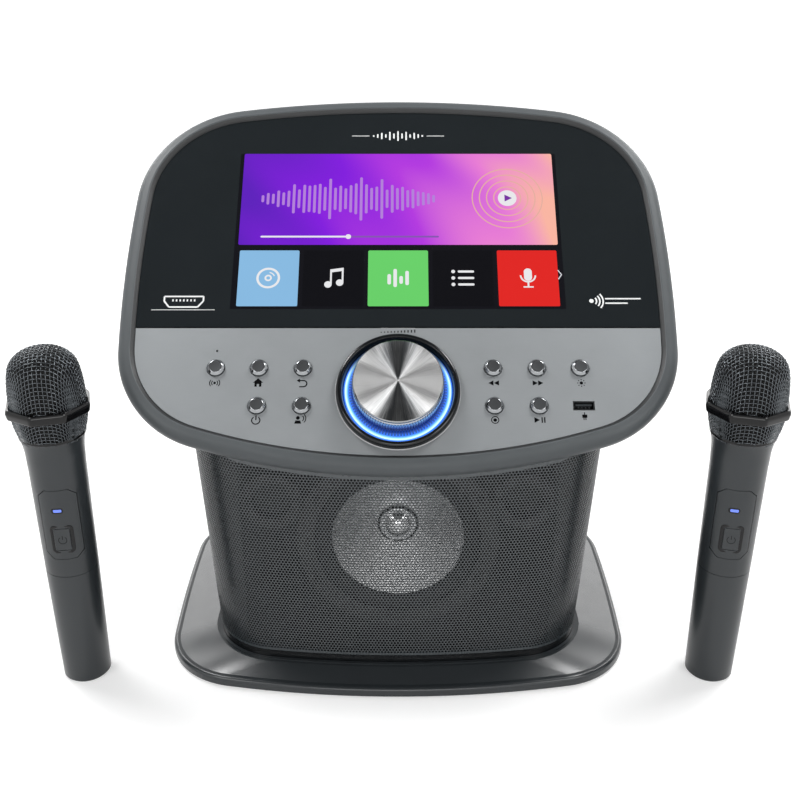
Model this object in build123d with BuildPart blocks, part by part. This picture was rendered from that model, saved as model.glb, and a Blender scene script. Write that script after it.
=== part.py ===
from build123d import *
import math
import os

# Karaoke machine: a sloped control-and-screen head on a tapering loudspeaker
# cabinet with a broad foot, and two handheld wireless microphones.
# Millimetres. +X is the singer's right, -Y is the front, +Z is up.
# The origin is on the table, at the middle of the machine.

os.makedirs("parts", exist_ok=True)

# ---------------------------------------------------------------- fits
gap = 0.3                  # between two mouldings that must not bind
running_fit = 0.05         # radial play of a shaft in its bush
press_room = 0.3           # what is left under a control that is fully pressed

# ---------------------------------------------------------------- base
base_half_width = 162.0
base_half_depth = 121.3
base_widest_at = 26.0      # Y of the widest place
base_side_radius = 1440.0
base_rear_radius = 650.0
base_rear_corner = 59.0
base_front_radius = 610.0
base_front_corner = 55.0
base_ground_gap = 1.8      # air under the plate, filled at the feet
base_edge_height = 6.2
base_edge_round = 2.6
base_dome_inset = 4.5
base_top = 13.3            # Z where the cabinet stands
base_wall = 3.0
cover_margin = 5.0         # from the plate's edge to the pocket of the cover
cover_ledge = 4.0
cover_thickness = 2.5
lip_height = 1.2
lip_width = 2.0
boss_side_margin = 86.0    # from the base's edge to the screws' rows
boss_front_margin = 29.3
boss_rear_margin = 25.3
foot_radius = 11.0
foot_recess = 0.8
foot_height = base_ground_gap + foot_recess
foot_spacing_x = 236.0
foot_spacing_y = 158.0
foot_round = 0.6

# ---------------------------------------------------------------- cabinet
column_half_width = 125.8  # at the base
column_taper = 4.0         # degrees that each side leans outwards
column_front = -101.0      # Y of the middle of the front, at the base
column_lean = 1.9          # degrees that the front leans back
column_rear = 80.0
column_bow_radius = 600.0
column_front_corner = 46.0
column_rear_corner = 22.0
trim_height = 6.0
grille_thickness = 1.0
grille_rear = 58.0         # Y where the grille's side wings end
cabinet_wall = 3.2
cabinet_floor = 3.0
opening_edge_width = 4.1   # between the grille and the opening for the loudspeakers
board_thickness = 1.6
board_post_radius = 4.0
board_post_height = 4.0
amplifier_half_width = 60.0
amplifier_front = -26.0
amplifier_rear = 44.0
post_margin = 5.0          # from a board's edge to its posts
heat_sink_width = 40.0
heat_sink_depth = 36.0
heat_sink_height = 14.0
sink_base = 3.0
heat_sink_fins = 8
heat_sink_centre = (-20.0, 8.0)
capacitor_spots = ((28.0, 20.0), (44.0, 20.0), (28.0, -8.0))
capacitor_radius = 6.0
capacitor_height = 16.0

# ---------------------------------------------------------------- head
panel_slope = 42.2         # degrees above the horizontal
panel_centre_y = 27.4
panel_centre_z = 277.5
head_half_width = 184.5
head_widest_at = -37.0
head_side_radius = 950.0
head_top = 112.4
head_top_radius = 786.0
head_top_corner = 81.0
head_bottom = -176.0
head_bottom_radius = 440.0
head_bottom_corner = 73.0
rim_width = 11.4
rim_height = 3.0           # rim above the glass
rim_outer_round = 7.5
bezel_depth = 8.0
bezel_wall = 3.0
glass_thickness = 1.8
ledge_width = 3.6
ledge_thickness = 2.0
parting_inset = 0.8
head_depth = 12.5
head_floor = 2.5
head_back_round = 3.6
head_boss_radius = 3.5
head_boss_margin = 1.0     # between a boss and the bezel's wall
head_boss_top_x = 70.0
head_boss_levels = (-6.0, -84.0)
neck_rear = 40.0           # Y where the opening between head and cabinet ends
neck_margin = 5.0          # room beside the woofer in that opening
panel_divide = -74.5       # line between the glass and the metal plate
divide_gap = 1.0

# ---------------------------------------------------------------- screen and controls
lcd_width = 235.0
lcd_height = 143.0
lcd_thickness = 5.6
lcd_centre = 2.0
key_board_top = -7.0
key_board_thickness = 1.6
key_board_end = 8.0        # from the USB socket's middle to the board's end
key_board_upper = -86.0
key_board_lower = -143.0
key_post_radius = 3.0
key_post_margin = 6.0
key_rows = (-104.0, -130.5)
key_columns = (61.3, 89.7, 117.5)
key_radius = 5.75
key_proud = 3.0
key_bevel = 1.7
key_travel = 0.8
pilot_distance = 12.4
pilot_radius = 0.8
key_flange = 0.8
key_flange_width = 1.1
switch_size = 6.0
switch_plunger_radius = 1.7
switch_plunger_height = 0.8
switch_play = 0.1
knob_centre = -120.5
knob_radius = 29.0
knob_lift = 1.8            # underside of the knob above the plate
knob_height = 15.2
knob_neck_radius = 27.0
knob_neck_height = 1.0
knob_recess_radius = 23.0
knob_roof = 5.0
knob_boss_radius = 6.0
knob_flutes = 100
knob_flute_depth = 0.7
knob_press_travel = 0.5
cap_radius = 28.5
cap_thickness = 1.8
cap_bevel = 0.7
ring_outer_radius = 39.7
ring_height = 5.5
ring_inner_radius = 35.0
ring_mouth = 1.8           # how much wider the ring opens at its top
ring_shoulder = 3.0
ring_crown = 2.6
ring_lip_fall = 0.4
light_height = 1.0
light_inner_radius = 20.0
shaft_radius = 3.0
bush_radius = 4.5
encoder_size = 14.0
encoder_height = 4.6
encoder_corner = 0.8
shaft_seat = 1.6           # shaft's lower end above the board
shaft_cover = 2.0          # knob material above the shaft
flute_end = 1.2            # plain edge above the knob's flutes
bush_top = 3.0
usb_x = 118.0
key_board_half_width = usb_x + key_board_end
usb_width = 13.2
usb_height = 5.8
usb_wall = 0.5
usb_back = 1.0
usb_tongue_width = 10.2
usb_tongue_thickness = 1.6
usb_tongue_rise = 1.0      # from the socket's middle to the tongue's middle
usb_tongue_sink = 1.0

# ---------------------------------------------------------------- loudspeakers
baffle_front = -83.0
baffle_thickness = 4.0
woofer_z = 100.0
woofer_rim = 11.5          # width of the woofer's flange
woofer_flange = 2.5
woofer_depth = 36.0
basket_wall = 1.6
basket_slope_reach = 21.0  # how far the basket narrows towards the magnet
basket_rim_depth = 7.0      # straight part behind the flange
basket_windows = 6
basket_window_share = 0.774  # of the basket's girth, at the windows' inner edge
basket_window_depth = 18.0
woofer_screw_angles = (30, 150, 210, 330)
woofer_screw_shift = 0.5   # from the middle of the flange's rim, outwards
surround_width = 11.5
cone_depth = 20.0
cone_neck_radius = 13.0
cone_wall = 0.8
dome_height = 9.0
surround_height = 4.0
surround_wall = 1.0
surround_seat = 1.0        # cone's rim behind the baffle's face
magnet_overhang = 6.0      # beyond the basket's foot
magnet_height = 15.0
magnet_cap = 3.0
magnet_round = 1.5
magnet_gap = 3.0           # between the cone's former and the magnet
basket_neck_room = 1.0     # from the magnet's bore to the basket's edge
tweeter_side_room = 1.0    # from a tweeter's rim to the edge of the cabinet's opening
tweeter_z = 129.0
tweeter_radius = 20.0
tweeter_flange = 2.0
tweeter_throat = 13.0
tweeter_depth = 10.0
tweeter_back = 4.0
tweeter_dome_sink = 3.0    # dome's top behind the baffle's face
tweeter_dome_round = 3.0

# ---------------------------------------------------------------- rear
rear_panel_margin = 33.8   # from the cabinet's side to the panel
rear_panel_half_width = column_half_width - rear_panel_margin
rear_panel_bottom = 26.0
rear_panel_top = 232.0
rear_flange = 4.0          # how far the panel's inner flange laps the wall
rear_flange_thickness = 2.0
rear_panel_corner = 8.0
rear_post_radius = 3.5
rear_post_margin = 7.0
port_z = 190.0
port_radius = 24.0
port_wall = 2.0
port_length = 62.0
port_flare = 7.0
socket_z = 62.0
socket_depth = 17.0
power_x = -64.0
power_radius = 5.0
power_bore = 2.85
hdmi_x = -24.0
hdmi_width = 15.0
hdmi_height = 5.6
audio_x = (22.0, 46.0)
audio_radius = 3.6
audio_bore = 1.8
main_board_low = -26.0     # from the sockets' line to the board's lower edge
main_board_high = 74.0
main_board_margin = 10.0   # from the panel's edge to the board
main_board_half_width = rear_panel_half_width - main_board_margin
main_chip_size = 22.0
main_chip_height = 2.4
main_chip_spots = ((-44.0, 40.0), (10.0, 44.0), (52.0, 36.0))
socket_recess = 0.5        # sockets' faces behind the panel's face
socket_wall = 0.5
socket_back = 4.0          # solid rear end of a socket
power_pin_radius = 1.0
hdmi_tongue_width = 11.0
hdmi_tongue_height = 1.2

# ---------------------------------------------------------------- screws
screw_head_radius = 3.0
screw_head_height = 1.0
screw_radius = 1.4
screw_hole_radius = 1.55
screw_length = 7.0
speaker_screw_radius = 2.7
speaker_screw_head = 1.6

# ---------------------------------------------------------------- microphones
mic_x = 214.0
mic_y = -90.0
mic_turns = {"left": 8.0, "right": -12.4}      # how far each switch plate faces aside
mic_ring_turns = {"left": 16.0, "right": -16.0}
mic_end_radius = 15.5
mic_end_bevel = 1.6
mic_joint_radius = 16.8
mic_grip_radius = 17.6
mic_collar_radius = 17.9
mic_top_radius = 20.2
mic_wall = 2.4
mic_floor = 2.0
mic_spigot_wall = 1.2
mic_spigot_low = 4.0       # how far the spigot reaches into the sleeve
mic_spigot_high = 3.0
mic_groove = 0.5           # depth of the joint line between sleeve and handle
mic_mesh_radius = 23.0
mic_mesh_wall = 1.0
mic_shoulder_radius = 21.5
mic_shoulder_drop = 15.0   # from the top of the ball
mic_crown_radius = 14.0
mic_crown_drop = 3.8
mic_height = 237.0
mic_ball_height = 55.0
mic_collar_height = 15.0
mic_band_height = 8.0      # plain band under the collar
mic_handle_grip = 73.0     # from that band to the joint line
mic_ring_drop = 37.0
mic_ring_height = 6.5
mic_ring_reach = 26.8
mic_ring_bevel = 1.2
mic_top_z = mic_height - mic_ball_height
mic_collar_z = mic_top_z - mic_collar_height
mic_grip_z = mic_collar_z - mic_band_height
mic_joint_z = mic_grip_z - mic_handle_grip
mic_ring_z = mic_height - mic_ring_drop
mic_plate_width = 23.0
mic_plate_rise = 13.5      # from the joint line
mic_plate_height = 49.5
mic_plate_low = mic_joint_z + mic_plate_rise
mic_plate_high = mic_plate_low + mic_plate_height
mic_plate_corner = 4.5
mic_plate_thickness = 1.5
mic_plate_play = 0.1
mic_key_width = 10.0
mic_key_height = 15.5
mic_key_rise = 14.5        # from the plate's lower edge to the key's middle
mic_key_z = mic_plate_low + mic_key_rise
mic_key_lip = 1.5          # how far the key's flange laps the wall
mic_key_flange_depth = 1.0
mic_key_proud = 0.3
mic_key_corner = 1.2
mic_key_round = 0.6
mic_capsule_radius = 11.0
mic_capsule_height = 20.0
mic_capsule_round = 2.0
mic_capsule_groove = 1.5


def slope_rise(distance, degrees):
    """Rise of a slope over a level distance."""
    return distance * math.tan(math.radians(degrees))


def arc_drop(radius, reach):
    """How far an arc has fallen away at a distance from its middle."""
    return radius - math.sqrt(radius**2 - reach**2)


def crown_face(form, inset=0.0):
    """Outline of four gentle arcs with round corners, moved inwards by inset."""
    half, widest, side_r, high, high_r, high_corner, low, low_r, low_corner = form
    half, side_r = half - inset, side_r - inset
    high, high_r, high_corner = high - inset, high_r - inset, high_corner - inset
    low, low_r, low_corner = low + inset, low_r - inset, low_corner - inset
    corners = []
    for level, radius, sign in ((high, high_r, -1), (low, low_r, 1)):
        x = half
        for _ in range(12):
            y = level + sign * arc_drop(radius, x)
            x = half - arc_drop(side_r, y - widest)
        corners.append((x, y))
    (x_high, y_high), (x_low, y_low) = corners
    with BuildSketch(mode=Mode.PRIVATE) as outline:
        with BuildLine():
            ThreePointArc((-x_high, y_high), (0, high), (x_high, y_high))
            ThreePointArc((x_high, y_high), (half, widest), (x_low, y_low))
            ThreePointArc((x_low, y_low), (0, low), (-x_low, y_low))
            ThreePointArc((-x_low, y_low), (-half, widest), (-x_high, y_high))
        make_face()
        fillet(outline.vertices().group_by(Axis.Y)[-1], high_corner)
        fillet(outline.vertices().group_by(Axis.Y)[0], low_corner)
    return outline.sketch


def column_face(z, inset=0.0):
    """Level section of the cabinet at height z, moved inwards by inset."""
    half = column_half_width + slope_rise(z - base_top, column_taper) - inset
    front = column_front + slope_rise(z - base_top, column_lean) + inset
    rear = column_rear - inset
    bow = column_bow_radius - inset
    front_side = front + arc_drop(bow, half)
    with BuildSketch(mode=Mode.PRIVATE) as outline:
        with BuildLine():
            ThreePointArc((-half, front_side), (0, front), (half, front_side))
            Polyline((half, front_side), (half, rear), (-half, rear), (-half, front_side))
        make_face()
        fillet(outline.vertices().group_by(Axis.Y)[-1], column_rear_corner - inset)
        fillet(outline.vertices().group_by(Axis.Y)[0], column_front_corner - inset)
    return outline.sketch


def column_reach(z, y, inset=0.0):
    """Half width of that section at a depth within its round front corners."""
    half = column_half_width + slope_rise(z - base_top, column_taper) - inset
    front = column_front + slope_rise(z - base_top, column_lean) + inset
    corner = column_front_corner - inset
    bow = column_bow_radius - inset
    corner_x = half - corner
    corner_y = front + bow - math.sqrt((bow - corner)**2 - corner_x**2)
    return corner_x + math.sqrt(corner**2 - (corner_y - y)**2)


def column_solid(z_low, z_high, inset=0.0):
    """The cabinet's outer form between two levels, moved inwards by inset."""
    with BuildPart(mode=Mode.PRIVATE) as column:
        with BuildSketch(Plane.XY.offset(z_low)):
            add(column_face(z_low, inset))
        with BuildSketch(Plane.XY.offset(z_high)):
            add(column_face(z_high, inset))
        loft()
    return column.part


def finish(piece, name):
    """Label a piece and write its file."""
    piece.part.label = name
    export_step(piece.part, f"parts/{name}.step")


base_form = (base_half_width, base_widest_at, base_side_radius,
             base_half_depth, base_rear_radius, base_rear_corner,
             -base_half_depth, base_front_radius, base_front_corner)
head_form = (head_half_width, head_widest_at, head_side_radius,
             head_top, head_top_radius, head_top_corner,
             head_bottom, head_bottom_radius, head_bottom_corner)

# The panel plane is the face of the glass; its local Y climbs the slope.
slope_sine = math.sin(math.radians(panel_slope))
slope_cosine = math.cos(math.radians(panel_slope))
panel = Plane(origin=(0, panel_centre_y, panel_centre_z), x_dir=(1, 0, 0),
              z_dir=(0, -slope_sine, slope_cosine))
head_back = panel.offset(-head_depth)
column_high = panel_centre_z + 2 * base_half_depth * slope_sine


def above(plane):
    """A large block on the upper side of a plane, used as a cutter."""
    reach = 4 * base_half_width
    with BuildPart(mode=Mode.PRIVATE) as block:
        with BuildSketch(plane):
            Rectangle(reach, reach)
        extrude(amount=reach)
    return block.part


def head_solid(inset, low, high):
    """The head's outline as a solid between two depths along the panel's normal."""
    with BuildPart(mode=Mode.PRIVATE) as block:
        with BuildSketch(panel.offset(low)):
            add(crown_face(head_form, inset))
        extrude(amount=high - low)
    return block.part


# ================================================================ base
base_edge_top = base_ground_gap + base_edge_height
cover_top = base_ground_gap + cover_thickness
boss_x = base_half_width - boss_side_margin
boss_spots = [(x, y) for x in (-boss_x, 0, boss_x)
              for y in (boss_front_margin - base_half_depth, base_half_depth - boss_rear_margin)]
foot_spots = [(sx * foot_spacing_x / 2, sy * foot_spacing_y / 2) for sx in (-1, 1) for sy in (-1, 1)]

with BuildPart() as base_plate:
    with BuildSketch(Plane.XY.offset(base_ground_gap)):
        add(crown_face(base_form))
    extrude(amount=base_edge_height)
    fillet(base_plate.edges().group_by(Axis.Z)[-1], base_edge_round)
    with BuildSketch(Plane.XY.offset(base_edge_top)):
        add(crown_face(base_form, base_dome_inset))
    with BuildSketch(Plane.XY.offset(base_top)):
        add(column_face(base_top, -2 * lip_width))
    loft()
    with BuildSketch(Plane.XY.offset(base_top)):
        add(column_face(base_top, -lip_width - gap))
        add(column_face(base_top, -gap), mode=Mode.SUBTRACT)
    extrude(amount=lip_height)
    with BuildSketch(Plane.XY.offset(base_ground_gap)):
        add(crown_face(base_form, cover_margin))
    extrude(amount=cover_thickness, mode=Mode.SUBTRACT)
    with BuildSketch(Plane.XY.offset(cover_top)):
        add(crown_face(base_form, cover_margin + cover_ledge))
    extrude(amount=base_edge_top - base_wall - cover_top, mode=Mode.SUBTRACT)
    with BuildSketch(Plane.XY.offset(cover_top)):
        add(column_face(base_top, cabinet_wall))
    extrude(amount=base_top - base_wall - cover_top, mode=Mode.SUBTRACT)
    with BuildSketch(Plane.XY.offset(cover_top)):
        with Locations(*boss_spots):
            Circle(2 * screw_head_radius)
    extrude(until=Until.NEXT)
    with BuildSketch(Plane.XY.offset(cover_top)):
        with Locations(*boss_spots):
            Circle(screw_hole_radius)
    extrude(amount=screw_length - cover_thickness, mode=Mode.SUBTRACT)
finish(base_plate, "base_plate")

with BuildPart() as base_bottom_cover:
    with BuildSketch(Plane.XY.offset(base_ground_gap)):
        add(crown_face(base_form, cover_margin + gap))
    extrude(amount=cover_thickness)
    with BuildSketch(Plane.XY.offset(base_ground_gap)):
        with Locations(*foot_spots):
            Circle(foot_radius + gap)
    extrude(amount=foot_recess, mode=Mode.SUBTRACT)
    with BuildSketch(Plane.XY.offset(base_ground_gap)):
        with Locations(*boss_spots):
            Circle(screw_head_radius + gap)
    extrude(amount=screw_head_height, mode=Mode.SUBTRACT)
    with BuildSketch(Plane.XY.offset(base_ground_gap)):
        with Locations(*boss_spots):
            Circle(screw_hole_radius)
    extrude(amount=cover_thickness, mode=Mode.SUBTRACT)
finish(base_bottom_cover, "base_bottom_cover")

with BuildPart() as base_feet:
    with BuildSketch(Plane.XY):
        with Locations(*foot_spots):
            Circle(foot_radius)
    extrude(amount=foot_height)
    fillet(base_feet.edges().group_by(Axis.Z)[0], foot_round)
finish(base_feet, "base_feet")

# ================================================================ cabinet
shell_inset = grille_thickness + gap
cavity_inset = shell_inset + cabinet_wall
floor_top = base_top + cabinet_floor
trim_top = base_top + trim_height
opening_reach = (column_reach(tweeter_z, baffle_front - tweeter_flange, grille_thickness)
                 - opening_edge_width)
board_post_top = floor_top + board_post_height
post_spots = [(sx * (amplifier_half_width - post_margin), y)
              for sx in (-1, 1) for y in (amplifier_front + post_margin, amplifier_rear - post_margin)]

with BuildPart() as cabinet_shell:
    add(column_solid(base_top, column_high, shell_inset))
    add(above(panel.offset(-bezel_depth - gap)), mode=Mode.SUBTRACT)
    add(head_solid(parting_inset - gap, -head_depth, 0), mode=Mode.SUBTRACT)
    with BuildPart(mode=Mode.PRIVATE) as cavity:
        add(column_solid(floor_top, column_high, cavity_inset))
        add(above(head_back), mode=Mode.SUBTRACT)
    add(cavity.part, mode=Mode.SUBTRACT)
    with BuildSketch(Plane.XZ.offset(-baffle_front)):
        with Locations((0, column_high / 2 + floor_top)):
            Rectangle(2 * opening_reach, column_high)
    extrude(amount=base_half_depth, mode=Mode.SUBTRACT)
    with BuildSketch(Plane.XZ.offset(-column_rear)):
        with Locations((0, (rear_panel_bottom + rear_panel_top) / 2)):
            RectangleRounded(2 * rear_panel_half_width, rear_panel_top - rear_panel_bottom,
                             rear_panel_corner)
    extrude(amount=2 * cavity_inset, mode=Mode.SUBTRACT)
    with BuildSketch(Plane.XY.offset(floor_top)):
        with Locations(*post_spots):
            Circle(board_post_radius)
    extrude(amount=board_post_height)
finish(cabinet_shell, "cabinet_shell")

with BuildPart() as grille_trim:
    add(column_solid(base_top, trim_top))
    add(column_solid(base_top, trim_top, grille_thickness), mode=Mode.SUBTRACT)
finish(grille_trim, "grille_trim")

with BuildPart() as front_grille:
    add(column_solid(trim_top + gap, column_high))
    add(column_solid(trim_top + gap, column_high, grille_thickness), mode=Mode.SUBTRACT)
    add(above(panel.offset(-bezel_depth - gap)), mode=Mode.SUBTRACT)
    add(head_solid(parting_inset - gap, -head_depth - gap, 0), mode=Mode.SUBTRACT)
    split(bisect_by=Plane.XZ.offset(-grille_rear), keep=Keep.TOP)
finish(front_grille, "front_grille")

shell_rear = column_rear - shell_inset
panel_middle_z = (rear_panel_bottom + rear_panel_top) / 2
panel_height = rear_panel_top - rear_panel_bottom
port_mouth_radius = port_radius + port_flare
board_low = socket_z + main_board_low
board_high = socket_z + main_board_high
rear_posts = [(sx * (main_board_half_width - rear_post_margin), z)
              for sx in (-1, 1) for z in (board_low + rear_post_margin, board_high - rear_post_margin)]
jack_spots = [(power_x, power_radius), *[(x, audio_radius) for x in audio_x]]
# Looking from behind, the sketch plane's X runs to the singer's right.
rear_face = Plane(origin=(0, shell_rear, 0), x_dir=(1, 0, 0), z_dir=(0, -1, 0))

with BuildPart() as rear_panel:
    with BuildSketch(rear_face):
        with Locations((0, panel_middle_z)):
            RectangleRounded(2 * (rear_panel_half_width - gap), panel_height - 2 * gap,
                             rear_panel_corner - gap)
    extrude(amount=cabinet_wall)
    with BuildSketch(rear_face.offset(cabinet_wall)):
        with Locations((0, panel_middle_z)):
            RectangleRounded(2 * (rear_panel_half_width + rear_flange), panel_height + 2 * rear_flange,
                             rear_panel_corner + rear_flange)
    extrude(amount=rear_flange_thickness)
    with BuildSketch(rear_face.offset(cabinet_wall)):
        with Locations(*rear_posts):
            Circle(rear_post_radius)
    extrude(amount=socket_depth - cabinet_wall)
    with BuildSketch(rear_face):
        with Locations((0, port_z)):
            Circle(port_mouth_radius + gap)
        for x, radius in jack_spots:
            with Locations((x, socket_z)):
                Circle(radius + gap)
        with Locations((hdmi_x, socket_z)):
            Rectangle(hdmi_width + 2 * gap, hdmi_height + 2 * gap)
    extrude(amount=socket_depth, mode=Mode.SUBTRACT)
finish(rear_panel, "rear_panel")

panel_depth = cabinet_wall + rear_flange_thickness
port_profile = Plane(origin=(0, shell_rear, port_z), x_dir=(1, 0, 0), z_dir=(0, 0, 1))
with BuildPart() as bass_port:
    with BuildSketch(port_profile):
        with BuildLine():
            RadiusArc((port_mouth_radius, 0), (port_radius, -port_flare), -port_flare)
            Polyline((port_radius, -port_flare), (port_radius, -port_length),
                     (port_radius + port_wall, -port_length),
                     (port_radius + port_wall, -panel_depth - port_flare),
                     (port_mouth_radius, -panel_depth), (port_mouth_radius, 0))
        make_face()
    revolve(axis=Axis((0, 0, port_z), (0, 1, 0)))
finish(bass_port, "bass_port")

with BuildPart() as main_board:
    with BuildSketch(rear_face.offset(socket_depth)):
        with Locations((0, (board_low + board_high) / 2)):
            Rectangle(2 * main_board_half_width, board_high - board_low)
    extrude(amount=board_thickness)
    with BuildSketch(rear_face.offset(socket_depth + board_thickness)):
        with Locations(*[(x, socket_z + z) for x, z in main_chip_spots]):
            Rectangle(main_chip_size, main_chip_size)
    extrude(amount=main_chip_height)
finish(main_board, "main_board")

barrel_depth = socket_depth - socket_recess - socket_back
with BuildPart() as power_jack:
    with BuildSketch(rear_face.offset(socket_recess)):
        with Locations((power_x, socket_z)):
            Circle(power_radius)
            Circle(power_bore, mode=Mode.SUBTRACT)
            Circle(power_pin_radius)
    extrude(amount=barrel_depth)
    with BuildSketch(rear_face.offset(socket_depth - socket_back)):
        with Locations((power_x, socket_z)):
            Circle(power_radius)
    extrude(amount=socket_back)
finish(power_jack, "power_jack")

with BuildPart() as hdmi_socket:
    with BuildSketch(rear_face.offset(socket_recess)):
        with Locations((hdmi_x, socket_z)):
            Rectangle(hdmi_width, hdmi_height)
            Rectangle(hdmi_width - 2 * socket_wall, hdmi_height - 2 * socket_wall, mode=Mode.SUBTRACT)
            Rectangle(hdmi_tongue_width, hdmi_tongue_height)
    extrude(amount=barrel_depth)
    with BuildSketch(rear_face.offset(socket_depth - socket_back)):
        with Locations((hdmi_x, socket_z)):
            Rectangle(hdmi_width, hdmi_height)
    extrude(amount=socket_back)
finish(hdmi_socket, "hdmi_socket")

with BuildPart() as audio_jacks:
    with BuildSketch(rear_face.offset(socket_recess)):
        with Locations(*[(x, socket_z) for x in audio_x]):
            Circle(audio_radius)
            Circle(audio_bore, mode=Mode.SUBTRACT)
    extrude(amount=barrel_depth)
    with BuildSketch(rear_face.offset(socket_depth - socket_back)):
        with Locations(*[(x, socket_z) for x in audio_x]):
            Circle(audio_radius)
    extrude(amount=socket_back)
finish(audio_jacks, "audio_jacks")

board_top = board_post_top + board_thickness
heat_sink_pitch = (heat_sink_width - board_thickness - 2 * gap) / (heat_sink_fins - 1)
with BuildPart() as amplifier_board:
    with BuildSketch(Plane.XY.offset(board_post_top)):
        with Locations((0, (amplifier_front + amplifier_rear) / 2)):
            Rectangle(2 * amplifier_half_width, amplifier_rear - amplifier_front)
    extrude(amount=board_thickness)
    with BuildSketch(Plane.XY.offset(board_top)):
        with Locations(heat_sink_centre):
            Rectangle(heat_sink_width, heat_sink_depth)
    extrude(amount=sink_base)
    with BuildSketch(Plane.XY.offset(board_top + sink_base)):
        with Locations(heat_sink_centre):
            with GridLocations(heat_sink_pitch, 0, heat_sink_fins, 1):
                Rectangle(board_thickness, heat_sink_depth)
    extrude(amount=heat_sink_height)
    with BuildSketch(Plane.XY.offset(board_top)):
        with Locations(*capacitor_spots):
            Circle(capacitor_radius)
    extrude(amount=capacitor_height)
finish(amplifier_board, "amplifier_board")

# ================================================================ loudspeakers
# The woofer's plane faces the listener; its local Z is the way the sound goes.
baffle_inset = cavity_inset + gap
tweeter_x = opening_reach - tweeter_side_room - tweeter_radius
woofer_radius = math.hypot(tweeter_x, tweeter_z - woofer_z) - tweeter_radius - gap
woofer_throat = woofer_radius - woofer_rim
basket_foot_radius = woofer_throat - basket_slope_reach
basket_window_width = (basket_window_share * 2 * math.pi
                       * (woofer_throat - basket_window_depth) / basket_windows)
cone_radius = woofer_throat - surround_width
magnet_radius = basket_foot_radius + magnet_overhang
woofer_plane = Plane(origin=(0, baffle_front, woofer_z), x_dir=(1, 0, 0), z_dir=(0, -1, 0))
woofer_axis = Axis((0, 0, woofer_z), (0, 1, 0))
woofer_profile = Plane(origin=(0, baffle_front, woofer_z), x_dir=(1, 0, 0), z_dir=(0, 0, -1))
woofer_screw_radius = (woofer_radius + woofer_throat) / 2 + woofer_screw_shift
tweeter_spots = [(-tweeter_x, tweeter_z - woofer_z), (tweeter_x, tweeter_z - woofer_z)]
tweeter_screw_reach = (tweeter_radius + tweeter_throat) / 2
woofer_screws = [(woofer_screw_radius * math.cos(math.radians(angle)),
                  woofer_screw_radius * math.sin(math.radians(angle))) for angle in woofer_screw_angles]
tweeter_screws = [(x + tweeter_screw_reach * side, y) for x, y in tweeter_spots for side in (-1, 1)]

with BuildPart() as speaker_baffle:
    add(column_solid(floor_top, column_high, baffle_inset))
    with BuildPart(mode=Mode.INTERSECT):
        with BuildSketch(woofer_plane.offset(-baffle_thickness)):
            Rectangle(4 * column_half_width, 2 * column_high)
        extrude(amount=baffle_thickness)
    add(above(head_back.offset(-gap)), mode=Mode.SUBTRACT)
    with BuildSketch(woofer_plane):
        Circle(woofer_radius)
    extrude(amount=-baffle_thickness)
    with BuildSketch(woofer_plane):
        Circle(woofer_throat + basket_wall + gap)
        with Locations(*tweeter_spots):
            Circle(tweeter_throat + basket_wall + gap)
        with Locations(*woofer_screws, *tweeter_screws):
            Circle(screw_hole_radius)
    extrude(amount=-baffle_thickness, mode=Mode.SUBTRACT)
finish(speaker_baffle, "speaker_baffle")

basket_neck = cone_neck_radius + magnet_gap + basket_neck_room
with BuildPart() as woofer_basket:
    with BuildSketch(woofer_profile):
        with BuildLine():
            Polyline((woofer_throat, woofer_flange), (woofer_radius, woofer_flange), (woofer_radius, 0),
                     (woofer_throat + basket_wall, 0), (woofer_throat + basket_wall, -basket_rim_depth),
                     (basket_foot_radius + basket_wall, -woofer_depth), (basket_neck, -woofer_depth),
                     (basket_neck, -woofer_depth + basket_wall),
                     (basket_foot_radius, -woofer_depth + basket_wall),
                     (woofer_throat, -basket_rim_depth + basket_wall), (woofer_throat, woofer_flange))
        make_face()
    revolve(axis=woofer_axis)
    with BuildSketch(woofer_plane.offset(-woofer_depth + 2 * basket_wall)):
        with PolarLocations(woofer_throat - basket_window_depth / 2, basket_windows, start_angle=30):
            Rectangle(basket_window_depth, basket_window_width)
    extrude(amount=woofer_depth - 2 * basket_rim_depth, mode=Mode.SUBTRACT)
    with BuildSketch(woofer_plane):
        with Locations(*woofer_screws):
            Circle(screw_hole_radius)
    extrude(amount=woofer_flange, mode=Mode.SUBTRACT)
finish(woofer_basket, "woofer_basket")

with BuildPart() as woofer_magnet:
    with BuildSketch(woofer_plane.offset(-woofer_depth)):
        Circle(magnet_radius)
        Circle(cone_neck_radius + magnet_gap, mode=Mode.SUBTRACT)
    extrude(amount=-magnet_height)
    with BuildSketch(woofer_plane.offset(-woofer_depth - magnet_height)):
        Circle(magnet_radius)
    extrude(amount=-magnet_cap)
    fillet(woofer_magnet.edges().group_by(Axis.Y)[-1], magnet_round)
finish(woofer_magnet, "woofer_magnet")

former_radius = cone_neck_radius - cone_wall
former_end = -woofer_depth - magnet_height / 4
dome_top = dome_height - cone_depth
dome_radius = (cone_neck_radius**2 + dome_height**2) / (2 * dome_height)
with BuildPart() as woofer_cone:
    with BuildSketch(woofer_profile):
        with BuildLine():
            outer_dome = JernArc((0, dome_top), (1, 0), dome_radius,
                                 -math.degrees(math.asin(cone_neck_radius / dome_radius)))
            inner_dome = JernArc((0, dome_top - cone_wall), (1, 0), dome_radius - cone_wall,
                                 -math.degrees(math.asin(former_radius / (dome_radius - cone_wall))))
            Line(outer_dome @ 0, inner_dome @ 0)
            Polyline(inner_dome @ 1, (former_radius, former_end), (cone_neck_radius, former_end),
                     (cone_neck_radius, -cone_depth - 2 * cone_wall),
                     (cone_radius, -surround_seat - cone_wall), (cone_radius, -surround_seat),
                     outer_dome @ 1)
        make_face()
    revolve(axis=woofer_axis)
finish(woofer_cone, "woofer_cone")

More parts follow.
